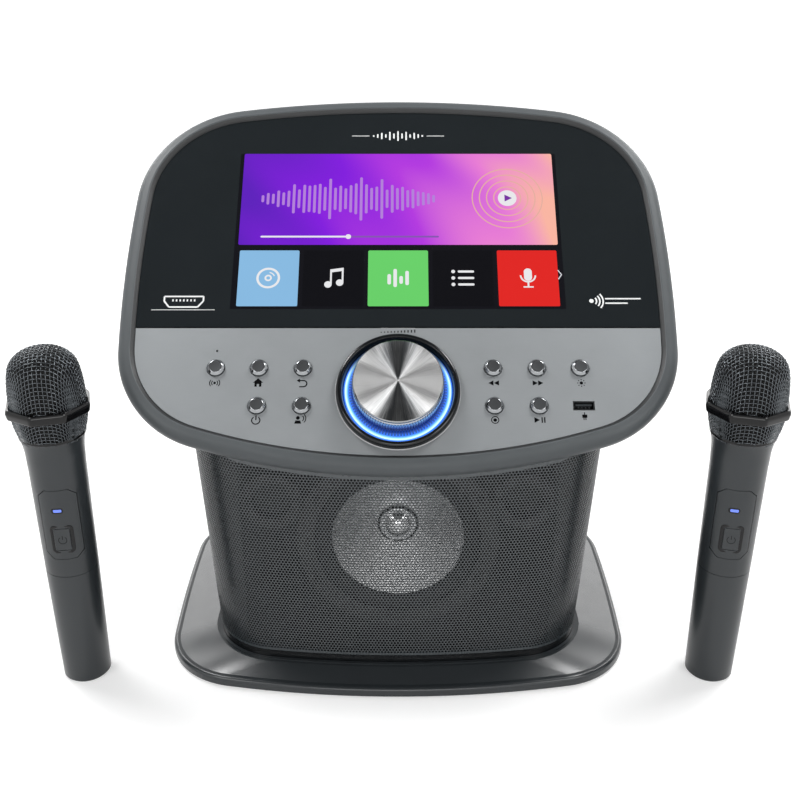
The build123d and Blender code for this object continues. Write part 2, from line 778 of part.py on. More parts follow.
surround_inner = cone_radius + gap
surround_outer = woofer_throat - gap
surround_middle = (surround_inner + surround_outer) / 2
surround_top = surround_height - surround_seat
with BuildPart() as woofer_surround:
    with BuildSketch(woofer_profile):
        with BuildLine():
            ThreePointArc((surround_inner, -surround_seat), (surround_middle, surround_top),
                          (surround_outer, -surround_seat))
            Line((surround_outer, -surround_seat), (surround_outer - surround_wall, -surround_seat))
            ThreePointArc((surround_outer - surround_wall, -surround_seat),
                          (surround_middle, surround_top - surround_wall),
                          (surround_inner + surround_wall, -surround_seat))
            Line((surround_inner + surround_wall, -surround_seat), (surround_inner, -surround_seat))
        make_face()
    revolve(axis=woofer_axis)
finish(woofer_surround, "woofer_surround")

with BuildPart() as tweeter_frames:
    for x, y in tweeter_spots:
        with BuildSketch(woofer_plane):
            with Locations((x, y)):
                Circle(tweeter_radius)
                Circle(tweeter_throat, mode=Mode.SUBTRACT)
        extrude(amount=tweeter_flange)
        with BuildSketch(woofer_plane):
            with Locations((x, y)):
                Circle(tweeter_throat + basket_wall)
                Circle(tweeter_throat, mode=Mode.SUBTRACT)
        extrude(amount=-tweeter_depth)
        with BuildSketch(woofer_plane.offset(-tweeter_depth)):
            with Locations((x, y)):
                Circle(tweeter_throat + basket_wall)
        extrude(amount=-tweeter_back)
    with BuildSketch(woofer_plane):
        with Locations(*tweeter_screws):
            Circle(screw_hole_radius)
    extrude(amount=tweeter_flange, mode=Mode.SUBTRACT)
finish(tweeter_frames, "tweeter_frames")

with BuildPart() as tweeter_domes:
    with BuildSketch(woofer_plane.offset(-tweeter_depth)):
        with Locations(*tweeter_spots):
            Circle(tweeter_throat - gap)
    extrude(amount=tweeter_depth - tweeter_dome_sink)
    fillet(tweeter_domes.edges().group_by(Axis.Y)[0], tweeter_dome_round)
finish(tweeter_domes, "tweeter_domes")

with BuildPart() as speaker_screws:
    for spots, seat in ((woofer_screws, woofer_flange), (tweeter_screws, tweeter_flange)):
        with BuildSketch(woofer_plane.offset(seat)):
            with Locations(*spots):
                Circle(speaker_screw_radius)
        extrude(amount=speaker_screw_head)
        with BuildSketch(woofer_plane.offset(seat)):
            with Locations(*spots):
                Circle(screw_radius)
        extrude(amount=-screw_length)
finish(speaker_screws, "speaker_screws")

# ================================================================ head
ledge_inset = rim_width + ledge_width
floor_level = head_floor - head_depth
boss_top_level = -glass_thickness - ledge_thickness
head_boss_inset = bezel_wall + head_boss_radius + head_boss_margin
head_boss_spots = [(head_boss_top_x, head_top - arc_drop(head_top_radius, head_boss_top_x) - head_boss_inset)]
for level in head_boss_levels:
    reach = head_half_width - arc_drop(head_side_radius, level - head_widest_at)
    head_boss_spots.append((reach - head_boss_inset, level))
head_boss_spots += [(-x, y) for x, y in head_boss_spots]
glass_outline_inset = rim_width + gap

with BuildPart() as head_bezel:
    with BuildSketch(panel.offset(-bezel_depth)):
        add(crown_face(head_form))
    extrude(amount=bezel_depth + rim_height)
    fillet(head_bezel.faces().sort_by(Axis(panel.origin, panel.z_dir))[-1].edges(), rim_outer_round)
    with BuildSketch(panel.offset(-glass_thickness)):
        add(crown_face(head_form, rim_width))
    extrude(amount=glass_thickness + rim_height, mode=Mode.SUBTRACT)
    with BuildSketch(panel.offset(boss_top_level)):
        add(crown_face(head_form, ledge_inset))
    extrude(amount=ledge_thickness, mode=Mode.SUBTRACT)
    with BuildSketch(panel.offset(-bezel_depth)):
        add(crown_face(head_form, bezel_wall))
    extrude(amount=bezel_depth + boss_top_level, mode=Mode.SUBTRACT)
    with BuildSketch(panel.offset(floor_level)):
        with Locations(*head_boss_spots):
            Circle(head_boss_radius)
            Circle(screw_hole_radius, mode=Mode.SUBTRACT)
    extrude(amount=boss_top_level - floor_level)
finish(head_bezel, "head_bezel")

key_board_back = key_board_top - key_board_thickness
key_post_levels = (key_board_upper - key_post_margin, key_board_lower + key_post_margin)
key_board_posts = [(sx * (key_board_half_width - key_post_margin), y)
                   for sx in (-1, 1) for y in key_post_levels]

with BuildPart() as head_back_shell:
    with BuildSketch(head_back):
        add(crown_face(head_form, parting_inset))
    extrude(amount=head_depth - bezel_depth - gap)
    fillet(head_back_shell.faces().sort_by(Axis(panel.origin, panel.z_dir))[0].edges(), head_back_round)
    with BuildSketch(panel.offset(floor_level)):
        add(crown_face(head_form, parting_inset + bezel_wall))
    extrude(amount=-floor_level, mode=Mode.SUBTRACT)
    with BuildPart(mode=Mode.PRIVATE) as neck:
        add(column_solid(floor_top, column_high, cavity_inset))
        add(above(panel), mode=Mode.SUBTRACT)
        with BuildSketch(Plane.XZ.offset(-neck_rear)):
            with Locations((0, column_high / 2)):
                Rectangle(2 * (woofer_radius + neck_margin), 2 * column_high)
        extrude(amount=2 * base_half_depth, mode=Mode.INTERSECT)
    add(neck.part, mode=Mode.SUBTRACT)
    with BuildSketch(head_back):
        with Locations(*head_boss_spots):
            Circle(screw_hole_radius)
    extrude(amount=head_floor, mode=Mode.SUBTRACT)
    with BuildSketch(head_back):
        with Locations(*head_boss_spots):
            Circle(screw_head_radius + gap)
    extrude(amount=screw_head_height, mode=Mode.SUBTRACT)
    with BuildSketch(panel.offset(floor_level)):
        with Locations(*key_board_posts):
            Circle(key_post_radius)
    extrude(amount=key_board_back - floor_level)
finish(head_back_shell, "head_back_shell")

panel_reach = 3 * head_half_width
with BuildPart() as screen_lens:
    with BuildSketch(panel.offset(-glass_thickness)):
        add(crown_face(head_form, glass_outline_inset))
        with Locations((0, panel_divide + divide_gap / 2 - panel_reach / 2)):
            Rectangle(panel_reach, panel_reach, mode=Mode.SUBTRACT)
    extrude(amount=glass_thickness)
finish(screen_lens, "screen_lens")

with BuildPart() as lcd_module:
    with BuildSketch(panel.offset(-glass_thickness)):
        with Locations((0, lcd_centre)):
            Rectangle(lcd_width, lcd_height)
    extrude(amount=-lcd_thickness)
finish(lcd_module, "lcd_module")

key_upper, key_lower = key_rows
key_inner, key_middle, key_outer = key_columns
key_spots = {
    "button_pairing": (-key_outer, key_upper),
    "button_home": (-key_middle, key_upper),
    "button_back": (-key_inner, key_upper),
    "button_power": (-key_middle, key_lower),
    "button_voice": (-key_inner, key_lower),
    "button_rewind": (key_inner, key_upper),
    "button_forward": (key_middle, key_upper),
    "button_light": (key_outer, key_upper),
    "button_record": (key_inner, key_lower),
    "button_play": (key_middle, key_lower),
}
knob_spot = (0, knob_centre)
usb_spot = (usb_x, key_lower)
pilot_spot = (-key_outer, key_upper + pilot_distance)

with BuildPart() as control_plate:
    with BuildSketch(panel.offset(-glass_thickness)):
        add(crown_face(head_form, glass_outline_inset))
        with Locations((0, panel_divide - divide_gap / 2 + panel_reach / 2)):
            Rectangle(panel_reach, panel_reach, mode=Mode.SUBTRACT)
        with Locations(*key_spots.values()):
            Circle(key_radius + gap, mode=Mode.SUBTRACT)
        with Locations(knob_spot):
            Circle(bush_radius + gap, mode=Mode.SUBTRACT)
        with Locations(usb_spot):
            Rectangle(usb_width + 2 * gap, usb_height + 2 * gap, mode=Mode.SUBTRACT)
        with Locations(pilot_spot):
            Circle(pilot_radius, mode=Mode.SUBTRACT)
    extrude(amount=glass_thickness)
finish(control_plate, "control_plate")

with BuildPart() as key_board:
    with BuildSketch(panel.offset(key_board_top)):
        with Locations((0, (key_board_upper + key_board_lower) / 2)):
            Rectangle(2 * key_board_half_width, key_board_upper - key_board_lower)
    extrude(amount=-key_board_thickness)
finish(key_board, "key_board")

flange_top = -glass_thickness - gap
key_bottom = flange_top - key_flange
switch_top = key_bottom - key_travel - switch_play
switch_shoulder = switch_top - switch_plunger_height
with BuildPart() as tact_switches:
    for spot in key_spots.values():
        with BuildSketch(panel.offset(key_board_top)):
            with Locations(spot):
                Rectangle(switch_size, switch_size)
        extrude(amount=switch_shoulder - key_board_top)
        with BuildSketch(panel.offset(switch_shoulder)):
            with Locations(spot):
                Circle(switch_plunger_radius)
        extrude(amount=switch_plunger_height)
finish(tact_switches, "tact_switches")

for name, spot in key_spots.items():
    with BuildPart() as button:
        with BuildSketch(panel.offset(key_bottom)):
            with Locations(spot):
                Circle(key_radius + key_flange_width)
        extrude(amount=key_flange)
        with BuildSketch(panel.offset(flange_top)):
            with Locations(spot):
                Circle(key_radius)
        extrude(amount=key_proud - flange_top)
        chamfer(button.faces().sort_by(Axis(panel.origin, panel.z_dir))[-1].edges(), key_bevel)
    finish(button, name)

usb_top = -gap
with BuildPart() as usb_socket:
    with BuildSketch(panel.offset(key_board_top)):
        with Locations(usb_spot):
            Rectangle(usb_width, usb_height)
            Rectangle(usb_width - 2 * usb_wall, usb_height - 2 * usb_wall, mode=Mode.SUBTRACT)
    extrude(amount=usb_top - key_board_top)
    with BuildSketch(panel.offset(key_board_top)):
        with Locations(usb_spot):
            Rectangle(usb_width - usb_wall, usb_height - usb_wall)
    extrude(amount=usb_back)
    with BuildSketch(panel.offset(key_board_top)):
        with Locations((usb_x, key_lower + usb_tongue_rise)):
            Rectangle(usb_tongue_width, usb_tongue_thickness)
    extrude(amount=usb_top - usb_tongue_sink - key_board_top)
finish(usb_socket, "usb_socket")

# The knob turns about an axis that stands square on the control plate.
knob_plane = Plane(origin=panel.from_local_coords((0, knob_centre, 0)), x_dir=(1, 0, 0), z_dir=panel.z_dir)
knob_axis = Axis(knob_plane.origin, knob_plane.z_dir)
knob_section = Plane(origin=knob_plane.origin, x_dir=(1, 0, 0), z_dir=-knob_plane.y_dir)

with BuildPart() as knob_ring:
    with BuildSketch(knob_section):
        with BuildLine():
            Polyline((ring_inner_radius, 0), (ring_outer_radius, 0),
                     (ring_outer_radius, ring_height - ring_shoulder))
            RadiusArc((ring_outer_radius, ring_height - ring_shoulder),
                      (ring_outer_radius - ring_crown, ring_height), -ring_shoulder)
            Polyline((ring_outer_radius - ring_crown, ring_height),
                     (ring_inner_radius + ring_mouth, ring_height - ring_lip_fall),
                     (ring_inner_radius, light_height), (ring_inner_radius, 0))
        make_face()
    revolve(axis=knob_axis)
finish(knob_ring, "knob_ring")

with BuildPart() as light_ring:
    with BuildSketch(knob_plane):
        Circle(ring_inner_radius - gap)
        Circle(light_inner_radius, mode=Mode.SUBTRACT)
    extrude(amount=light_height)
finish(light_ring, "light_ring")

shaft_low = key_board_top + shaft_seat
with BuildPart() as encoder_body:
    with BuildSketch(knob_plane.offset(key_board_top)):
        RectangleRounded(encoder_size, encoder_size, encoder_corner)
    extrude(amount=encoder_height)
    with BuildSketch(knob_plane.offset(key_board_top)):
        Circle(bush_radius)
    extrude(amount=bush_top - key_board_top)
    with BuildSketch(knob_plane.offset(shaft_low - knob_press_travel - switch_play)):
        Circle(shaft_radius + running_fit)
    extrude(amount=bush_top - key_board_top, mode=Mode.SUBTRACT)
finish(encoder_body, "encoder_body")

boss_low = bush_top + knob_press_travel + press_room
knob_shoulder = knob_height - knob_neck_height
shaft_high = knob_shoulder - shaft_cover
with BuildPart() as encoder_plunger:
    with BuildSketch(knob_plane.offset(shaft_low)):
        Circle(shaft_radius)
    extrude(amount=shaft_high - shaft_low)
finish(encoder_plunger, "encoder_plunger")

with BuildPart() as volume_knob:
    with BuildSketch(knob_plane.offset(knob_lift)):
        Circle(knob_radius)
    extrude(amount=knob_shoulder - knob_lift)
    with BuildSketch(knob_plane.offset(knob_lift)):
        with PolarLocations(knob_radius, knob_flutes):
            Rectangle(knob_flute_depth, knob_flute_depth, rotation=45)
    extrude(amount=knob_shoulder - knob_lift - flute_end, mode=Mode.SUBTRACT)
    with BuildSketch(knob_plane.offset(knob_shoulder)):
        Circle(knob_neck_radius)
    extrude(amount=knob_neck_height)
    with BuildSketch(knob_plane.offset(knob_lift)):
        Circle(knob_recess_radius)
        Circle(knob_boss_radius, mode=Mode.SUBTRACT)
    extrude(amount=knob_height - knob_roof - knob_lift, mode=Mode.SUBTRACT)
    with BuildSketch(knob_plane.offset(knob_lift)):
        Circle(knob_boss_radius)
    extrude(amount=boss_low - knob_lift, mode=Mode.SUBTRACT)
    with BuildSketch(knob_plane.offset(boss_low)):
        Circle(shaft_radius + running_fit)
    extrude(amount=shaft_high + running_fit - boss_low, mode=Mode.SUBTRACT)
finish(volume_knob, "volume_knob")

with BuildPart() as knob_cap:
    with BuildSketch(knob_plane.offset(knob_height)):
        Circle(cap_radius)
    extrude(amount=cap_thickness)
    chamfer(knob_cap.faces().sort_by(knob_axis)[-1].edges(), cap_bevel)
finish(knob_cap, "knob_cap")

with BuildPart() as case_screws:
    with BuildSketch(Plane.XY.offset(base_ground_gap)):
        with Locations(*boss_spots):
            Circle(screw_head_radius)
    extrude(amount=screw_head_height)
    with BuildSketch(Plane.XY.offset(base_ground_gap)):
        with Locations(*boss_spots):
            Circle(screw_radius)
    extrude(amount=screw_length - gap)
    with BuildSketch(head_back):
        with Locations(*head_boss_spots):
            Circle(screw_head_radius)
    extrude(amount=screw_head_height)
    with BuildSketch(head_back):
        with Locations(*head_boss_spots):
            Circle(screw_radius)
    extrude(amount=screw_length)
finish(case_screws, "case_screws")

# ================================================================ microphones
def grip_solid(side, inset=0.0):
    """The microphone's grip as a solid of revolution, its side moved inwards by inset."""
    with BuildPart(mode=Mode.PRIVATE) as grip:
        with BuildSketch(side):
            with BuildLine():
                Polyline((0, mic_top_z), (0, 0), (mic_end_radius - mic_end_bevel - inset, 0),
                         (mic_end_radius - inset, mic_end_bevel), (mic_joint_radius - inset, mic_joint_z),
                         (mic_grip_radius - inset, mic_grip_z), (mic_collar_radius - inset, mic_collar_z))
                TangentArc((mic_collar_radius - inset, mic_collar_z), (mic_top_radius - inset, mic_top_z),
                           tangent=(0, 1))
                Line((mic_top_radius - inset, mic_top_z), (0, mic_top_z))
            make_face()
        revolve(axis=Axis(side.origin, (0, 0, 1)))
    return grip.part


def mesh_solid(side, inset=0.0):
    """The ball of the microphone, its skin moved inwards by inset."""
    crown_turn = 2 * math.atan(mic_crown_drop / mic_crown_radius)
    crown_end = (mic_crown_radius - inset * math.sin(crown_turn),
                 mic_height - mic_crown_drop - inset * math.cos(crown_turn))
    shoulder = (mic_shoulder_radius - inset, mic_height - mic_shoulder_drop)
    with BuildPart(mode=Mode.PRIVATE) as ball:
        with BuildSketch(side):
            with BuildLine():
                crown = TangentArc((0, mic_height - inset), crown_end, tangent=(1, 0))
                TangentArc(crown @ 1, shoulder, tangent=crown % 1)
                TangentArc((mic_mesh_radius - inset, mic_ring_z), shoulder, tangent=(0, 1))
                TangentArc((mic_mesh_radius - inset, mic_ring_z), (mic_top_radius - inset, mic_top_z),
                           tangent=(0, -1))
                Polyline((mic_top_radius - inset, mic_top_z), (0, mic_top_z), (0, mic_height - inset))
            make_face()
        revolve(axis=Axis(side.origin, (0, 0, 1)))
    return ball.part


def slab(low, high, side):
    """A broad level slab round one microphone, used to keep a stretch of its height."""
    with BuildPart(mode=Mode.PRIVATE) as block:
        with BuildSketch(Plane(origin=side.origin + Vector(0, 0, low), x_dir=side.x_dir, z_dir=(0, 0, 1))):
            Circle(4 * mic_mesh_radius)
        extrude(amount=high - low)
    return block.part


def window(side, width, low, high, corner, reach):
    """A prism with cut corners that stands out of the grip's front."""
    with BuildPart(mode=Mode.PRIVATE) as block:
        with BuildSketch(side) as opening:
            with Locations((0, (low + high) / 2)):
                Rectangle(width, high - low)
            chamfer(opening.vertices(), corner)
        extrude(amount=reach)
    return block.part


mic_key_low = mic_key_z - mic_key_height / 2
mic_key_high = mic_key_z + mic_key_height / 2
mic_key_face = mic_joint_radius + mic_key_proud
mic_spigot_radius = mic_joint_radius - mic_wall - gap
mic_spigot_bore = mic_spigot_radius - mic_spigot_wall
mic_key_flange = math.sqrt(mic_spigot_radius**2 - (mic_key_width / 2 + mic_key_lip)**2)

for hand, turn in mic_turns.items():
    x = -mic_x if hand == "left" else mic_x
    stand = Plane(origin=(x, mic_y, 0), x_dir=(1, 0, 0), z_dir=(0, 0, 1)).rotated((0, 0, turn))
    side = Plane(origin=stand.origin, x_dir=stand.x_dir, z_dir=-stand.y_dir)
    plate_recess = window(side, mic_plate_width + 2 * gap, mic_plate_low - gap, mic_plate_high + gap,
                          mic_plate_corner, 2 * mic_mesh_radius)
    plate_window = window(side, mic_plate_width, mic_plate_low, mic_plate_high,
                          mic_plate_corner, 2 * mic_mesh_radius)
    key_window = window(side, mic_key_width + 2 * gap, mic_key_low - gap, mic_key_high + gap,
                        mic_key_corner, 2 * mic_mesh_radius)

    with BuildPart() as mic_sleeve:
        add(grip_solid(side))
        add(grip_solid(side, mic_wall), mode=Mode.SUBTRACT)
        with BuildSketch(stand):
            Circle(mic_end_radius - mic_end_bevel)
        extrude(amount=mic_floor)
        add(slab(0, mic_joint_z - gap, side), mode=Mode.INTERSECT)
    finish(mic_sleeve, f"mic_{hand}_sleeve")

    with BuildPart() as mic_handle:
        add(grip_solid(side))
        with BuildPart(mode=Mode.PRIVATE) as hollow:
            add(grip_solid(side, mic_wall))
            add(slab(0, mic_top_z - mic_floor, side), mode=Mode.INTERSECT)
        add(hollow.part, mode=Mode.SUBTRACT)
        add(slab(mic_joint_z, mic_top_z, side), mode=Mode.INTERSECT)
        with BuildSketch(stand.offset(mic_joint_z - mic_spigot_low)):
            Circle(mic_spigot_radius)
            Circle(mic_spigot_bore, mode=Mode.SUBTRACT)
        extrude(amount=mic_spigot_low + mic_spigot_high)
        with BuildSketch(stand.offset(mic_joint_z)):
            Circle(mic_joint_radius - mic_groove)
            Circle(mic_spigot_bore, mode=Mode.SUBTRACT)
        extrude(amount=mic_spigot_high)
        with BuildPart(mode=Mode.PRIVATE) as recess:
            add(plate_recess)
            add(grip_solid(side, mic_plate_thickness + mic_plate_play), mode=Mode.SUBTRACT)
        add(recess.part, mode=Mode.SUBTRACT)
        add(key_window, mode=Mode.SUBTRACT)
    finish(mic_handle, f"mic_{hand}_handle")

    with BuildPart() as mic_switch_plate:
        add(grip_solid(side))
        add(grip_solid(side, mic_plate_thickness), mode=Mode.SUBTRACT)
        add(plate_window, mode=Mode.INTERSECT)
        add(key_window, mode=Mode.SUBTRACT)
    finish(mic_switch_plate, f"mic_{hand}_switch_plate")

    with BuildPart() as mic_button:
        with BuildSketch(side.offset(mic_key_flange)):
            with Locations((0, mic_key_z)):
                RectangleRounded(mic_key_width, mic_key_height, mic_key_corner)
        extrude(amount=mic_key_face - mic_key_flange)
        fillet(mic_button.faces().sort_by(Axis(side.origin, side.z_dir))[-1].edges(), mic_key_round)
        with BuildSketch(side.offset(mic_key_flange - mic_key_flange_depth)):
            with Locations((0, mic_key_z)):
                Rectangle(mic_key_width + 2 * mic_key_lip, mic_key_height + 2 * mic_key_lip)
        extrude(amount=mic_key_flange_depth)
    finish(mic_button, f"mic_{hand}_button")

    with BuildPart() as mic_mesh:
        add(mesh_solid(side))
        add(mesh_solid(side, mic_mesh_wall), mode=Mode.SUBTRACT)
    finish(mic_mesh, f"mic_{hand}_mesh")

    with BuildPart() as mic_ring:
        with BuildSketch(stand.offset(mic_ring_z - mic_ring_height / 2)):
            RegularPolygon(radius=mic_ring_reach, side_count=8,
                           rotation=22.5 + mic_ring_turns[hand] - turn)
        extrude(amount=mic_ring_height)
        chamfer(mic_ring.edges().group_by(Axis.Z)[-1], mic_ring_bevel)
        chamfer(mic_ring.edges().group_by(Axis.Z)[0], mic_ring_bevel)
        with BuildSketch(stand.offset(mic_ring_z - mic_ring_height)):
            Circle(mic_mesh_radius + gap)
        extrude(amount=2 * mic_ring_height, mode=Mode.SUBTRACT)
    finish(mic_ring, f"mic_{hand}_ring")

    with BuildPart() as mic_capsule:
        with BuildSketch(stand.offset(mic_top_z)):
            Circle(mic_capsule_radius)
        extrude(amount=mic_capsule_height)
        fillet(mic_capsule.edges().group_by(Axis.Z)[-1], mic_capsule_round)
        with BuildSketch(stand.offset(mic_top_z + mic_capsule_height / 2)):
            Circle(mic_capsule_radius)
            Circle(mic_capsule_radius - mic_mesh_wall, mode=Mode.SUBTRACT)
        extrude(amount=mic_capsule_groove, mode=Mode.SUBTRACT)
    finish(mic_capsule, f"mic_{hand}_capsule")
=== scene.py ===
import random
from bisect import bisect_right
from math import asin, atan2, cos, pi, radians, sin, sqrt, tan

import bpy
from mathutils import Matrix, Vector


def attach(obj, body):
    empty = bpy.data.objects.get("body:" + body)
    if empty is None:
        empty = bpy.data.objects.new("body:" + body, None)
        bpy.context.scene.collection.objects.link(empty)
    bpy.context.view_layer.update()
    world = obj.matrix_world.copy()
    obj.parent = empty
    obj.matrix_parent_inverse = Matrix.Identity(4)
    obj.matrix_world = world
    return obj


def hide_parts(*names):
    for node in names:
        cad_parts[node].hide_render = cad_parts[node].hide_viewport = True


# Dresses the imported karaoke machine: finishes for the CAD pieces, and finer pieces for the
# perforated grille, the screen, the controls and the microphones' woven heads.
# Sizes are in millimetres until they reach a mesh, which is in metres.

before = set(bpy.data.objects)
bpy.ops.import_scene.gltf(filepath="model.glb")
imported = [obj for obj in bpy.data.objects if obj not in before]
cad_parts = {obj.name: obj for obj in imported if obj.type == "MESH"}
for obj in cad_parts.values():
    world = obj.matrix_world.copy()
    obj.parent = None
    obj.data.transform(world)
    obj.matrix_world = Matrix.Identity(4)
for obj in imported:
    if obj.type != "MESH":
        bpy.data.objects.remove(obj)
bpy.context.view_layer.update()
random.seed(8)
scene = bpy.context.scene

MM = 0.001
GAP = 0.3

# ---- sizes of the part
PANEL_SLOPE = radians(42.2)
PANEL_CENTRE = Vector((0, 27.4, 277.5))
HEAD_FORM = (184.5, -37.0, 950.0, 112.4, 786.0, 81.0, -176.0, 440.0, 73.0)
WOOFER_HEIGHT = 100.0
CAP_RADIUS = 13.0
RIM_WIDTH = 11.4
RIM_HEIGHT = 3.0
BEZEL_DEPTH = 8.0
SCREEN_CENTRE = 2.0
SCREEN_WIDTH = 222.7
SCREEN_HEIGHT = 125.3
SCREEN_LIFT = 0.03
SCREEN_LAYER = 0.05
KEY_UPPER, KEY_LOWER = -104.0, -130.5
KEY_INNER, KEY_MIDDLE, KEY_OUTER = 61.3, 89.7, 117.5
KEY_RADIUS = 5.75
KEY_PROUD = 3.0
KNOB_CENTRE = -120.5
KNOB_RIBS = 100
USB_X = 118.0
COLUMN_HALF = 125.8
COLUMN_TAPER = tan(radians(4.0))
COLUMN_FRONT = -101.0
COLUMN_LEAN = tan(radians(1.9))
COLUMN_BOW = 600.0
COLUMN_CORNER = 46.0
COLUMN_FOOT = 13.3
GRILLE_LOW = 19.6
GRILLE_REAR = 58.0
GRILLE_THICKNESS = 1.0
GRILLE_EDGE = 1.6
GRILLE_BORDER = 3.4
MIC_X, MIC_Y = 214.0, -90.0
MIC_TURNS = {"left": 8.0, "right": -12.4}
RING_TURNS = {"left": 16.0, "right": -16.0}

# ---- frames
PANEL_NORMAL = Vector((0, -sin(PANEL_SLOPE), cos(PANEL_SLOPE)))
PANEL_UP = Vector((0, cos(PANEL_SLOPE), sin(PANEL_SLOPE)))


def panel_frame(u=0.0, v=0.0, lift=0.0):
    """Placement on the sloping panel: local X across, local Y up the slope, local Z outwards."""
    origin = (PANEL_CENTRE + Vector((u, 0, 0)) + v * PANEL_UP + lift * PANEL_NORMAL) * MM
    axes = Matrix((Vector((1, 0, 0)), PANEL_UP, PANEL_NORMAL)).transposed()
    return Matrix.Translation(origin) @ axes.to_4x4()


def mic_frame(hand):
    """Placement of a microphone: on the table, local -Y through the middle of its switch plate."""
    x = -MIC_X if hand == "left" else MIC_X
    turn = Matrix.Rotation(radians(MIC_TURNS[hand]), 4, "Z")
    return Matrix.Translation(Vector((x, MIC_Y, 0)) * MM) @ turn


# ---- meshes
def put(name, data):
    """A new object in the scene."""
    thing = bpy.data.objects.new(name, data)
    scene.collection.objects.link(thing)
    return thing


def make_mesh(name, form, unit=MM):
    """A smooth mesh from points and faces; unit is the points' own, in metres."""
    mesh = bpy.data.meshes.new(name)
    mesh.from_pydata([Vector(point) * unit for point in form[0]], [], form[1])
    mesh.shade_smooth()
    return mesh


def make_piece(name, form, body, finishes, place=Matrix.Identity(4), face_finish=None, smooth_below=30.0,
               replaces=None):
    """A piece that rides on a CAD body. Its form is points in millimetres in its own frame, and faces."""
    mesh = make_mesh(name, form)
    for finish in finishes if isinstance(finishes, list) else [finishes]:
        mesh.materials.append(finish)
    if face_finish:
        mesh.polygons.foreach_set("material_index", face_finish)
    mesh.set_sharp_from_angle(angle=radians(smooth_below))
    piece = put(name, mesh)
    piece.matrix_world = place
    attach(piece, body)
    if replaces:
        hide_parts(replaces)


def bridge(first, second, count):
    """Quads between two closed rows of points that start at two places in the list of points."""
    return [(first + i, first + (i + 1) % count, second + (i + 1) % count, second + i) for i in range(count)]


def loft(rows):
    """Points and faces of a skin through closed rows that have as many points each."""
    count, faces = len(rows[0]), []
    for row in range(len(rows) - 1):
        faces += bridge(row * count, (row + 1) * count, count)
    return [point for row in rows for point in row], faces


def two_tone(profile, change, count):
    """Material numbers of a skin's faces: the second material from one row of the profile on."""
    return [int(row >= change) for row in range(len(profile) - 1) for _ in range(count)]


def lathe(profile, steps=96, ribs=0, rib_depth=0.0, ribbed=()):
    """Points and faces of a turned form. profile is (radius, height) from one end to the other."""
    vertices, faces, starts = [], [], []
    for index, (radius, height) in enumerate(profile):
        starts.append(len(vertices))
        if radius < 1e-6:
            vertices.append((0, 0, height))
            continue
        for step in range(steps):
            angle = 2 * pi * step / steps
            reach = radius
            if index in ribbed:
                reach -= rib_depth * (0.5 - 0.5 * cos(ribs * angle))
            vertices.append((reach * cos(angle), reach * sin(angle), height))
    for (low_r, _), (high_r, _), low, high in zip(profile, profile[1:], starts, starts[1:]):
        if low_r < 1e-6:
            faces += [(low, high + (i + 1) % steps, high + i) for i in range(steps)]
        elif high_r < 1e-6:
            faces += [(low + i, low + (i + 1) % steps, high) for i in range(steps)]
        else:
            faces += bridge(low, high, steps)
    return vertices, faces


def bend(enter, tip, leave, steps):
    """Points of a soft bend from one point to another that heads for a tip."""
    return [tuple(enter.lerp(tip, step / steps).lerp(tip.lerp(leave, step / steps), step / steps))
            for step in range(steps + 1)]


def rounded(corner, before, after, radius, steps=5):
    """Points of a small round at a profile's corner, between its two neighbours."""
    corner, before, after = Vector(corner), Vector(before), Vector(after)
    enter = corner + (before - corner).normalized() * radius
    leave = corner + (after - corner).normalized() * radius
    return bend(enter, corner, leave, steps)


def meet(centre_a, radius_a, centre_b, radius_b, sign):
    """Where two circles cross; sign picks the upper or the lower crossing."""
    between = centre_b - centre_a
    distance = between.length
    along = (radius_a**2 - radius_b**2 + distance**2) / (2 * distance)
    aside = sqrt(max(radius_a**2 - along**2, 0.0))
    base = centre_a + between * (along / distance)
    normal = Vector((-between.y, between.x)) / distance
    first, second = base + normal * aside, base - normal * aside
    return first if (first.y - second.y) * sign > 0 else second


def arc(centre, radius, start, end, steps):
    """Points along an arc, the last one left out."""
    angles = [start + (end - start) * step / steps for step in range(steps)]
    return [(centre.x + radius * cos(angle), centre.y + radius * sin(angle)) for angle in angles]


def heading(centre, point):
    """Angle of the way from a centre to a point."""
    return atan2(point.y - centre.y, point.x - centre.x)


def crown_outline(form, inset=0.0):
    """Outline of four gentle arcs with round corners, moved inwards, clockwise from the top's middle."""
    half, widest, side_r, high, high_r, high_corner, low, low_r, low_corner = form
    top, side, foot = Vector((0, high - high_r)), Vector((half - side_r, widest)), Vector((0, low + low_r))
    upper = meet(top, high_r - high_corner, side, side_r - high_corner, 1)
    lower = meet(foot, low_r - low_corner, side, side_r - low_corner, -1)
    right, start = [], pi / 2
    for centre, radius, end, steps in (
            (top, high_r, heading(top, upper), 26), (upper, high_corner, heading(side, upper), 26),
            (side, side_r, heading(side, lower), 22), (lower, low_corner, heading(foot, lower), 26),
            (foot, low_r, -pi / 2, 30)):
        right += arc(centre, radius - inset, start, end, steps)
        start = end
    return right + [(0.0, low + inset)] + [(-x, y) for x, y in reversed(right[1:])]


def sweep_outline(form, profile):
    """Points and faces of a profile of (inset, height) carried round an outline."""
    return loft([[(x, y, height) for x, y in crown_outline(form, inset)] for inset, height in profile])


# ---- flat drawings
def box(low_x, low_y, high_x, high_y):
    return [[(low_x, low_y), (high_x, low_y), (high_x, high_y), (low_x, high_y)]]


def disc(x, y, radius, steps=28):
    angles = [2 * pi * i / steps for i in range(steps)]
    return [[(x + radius * cos(angle), y + radius * sin(angle)) for angle in angles]]


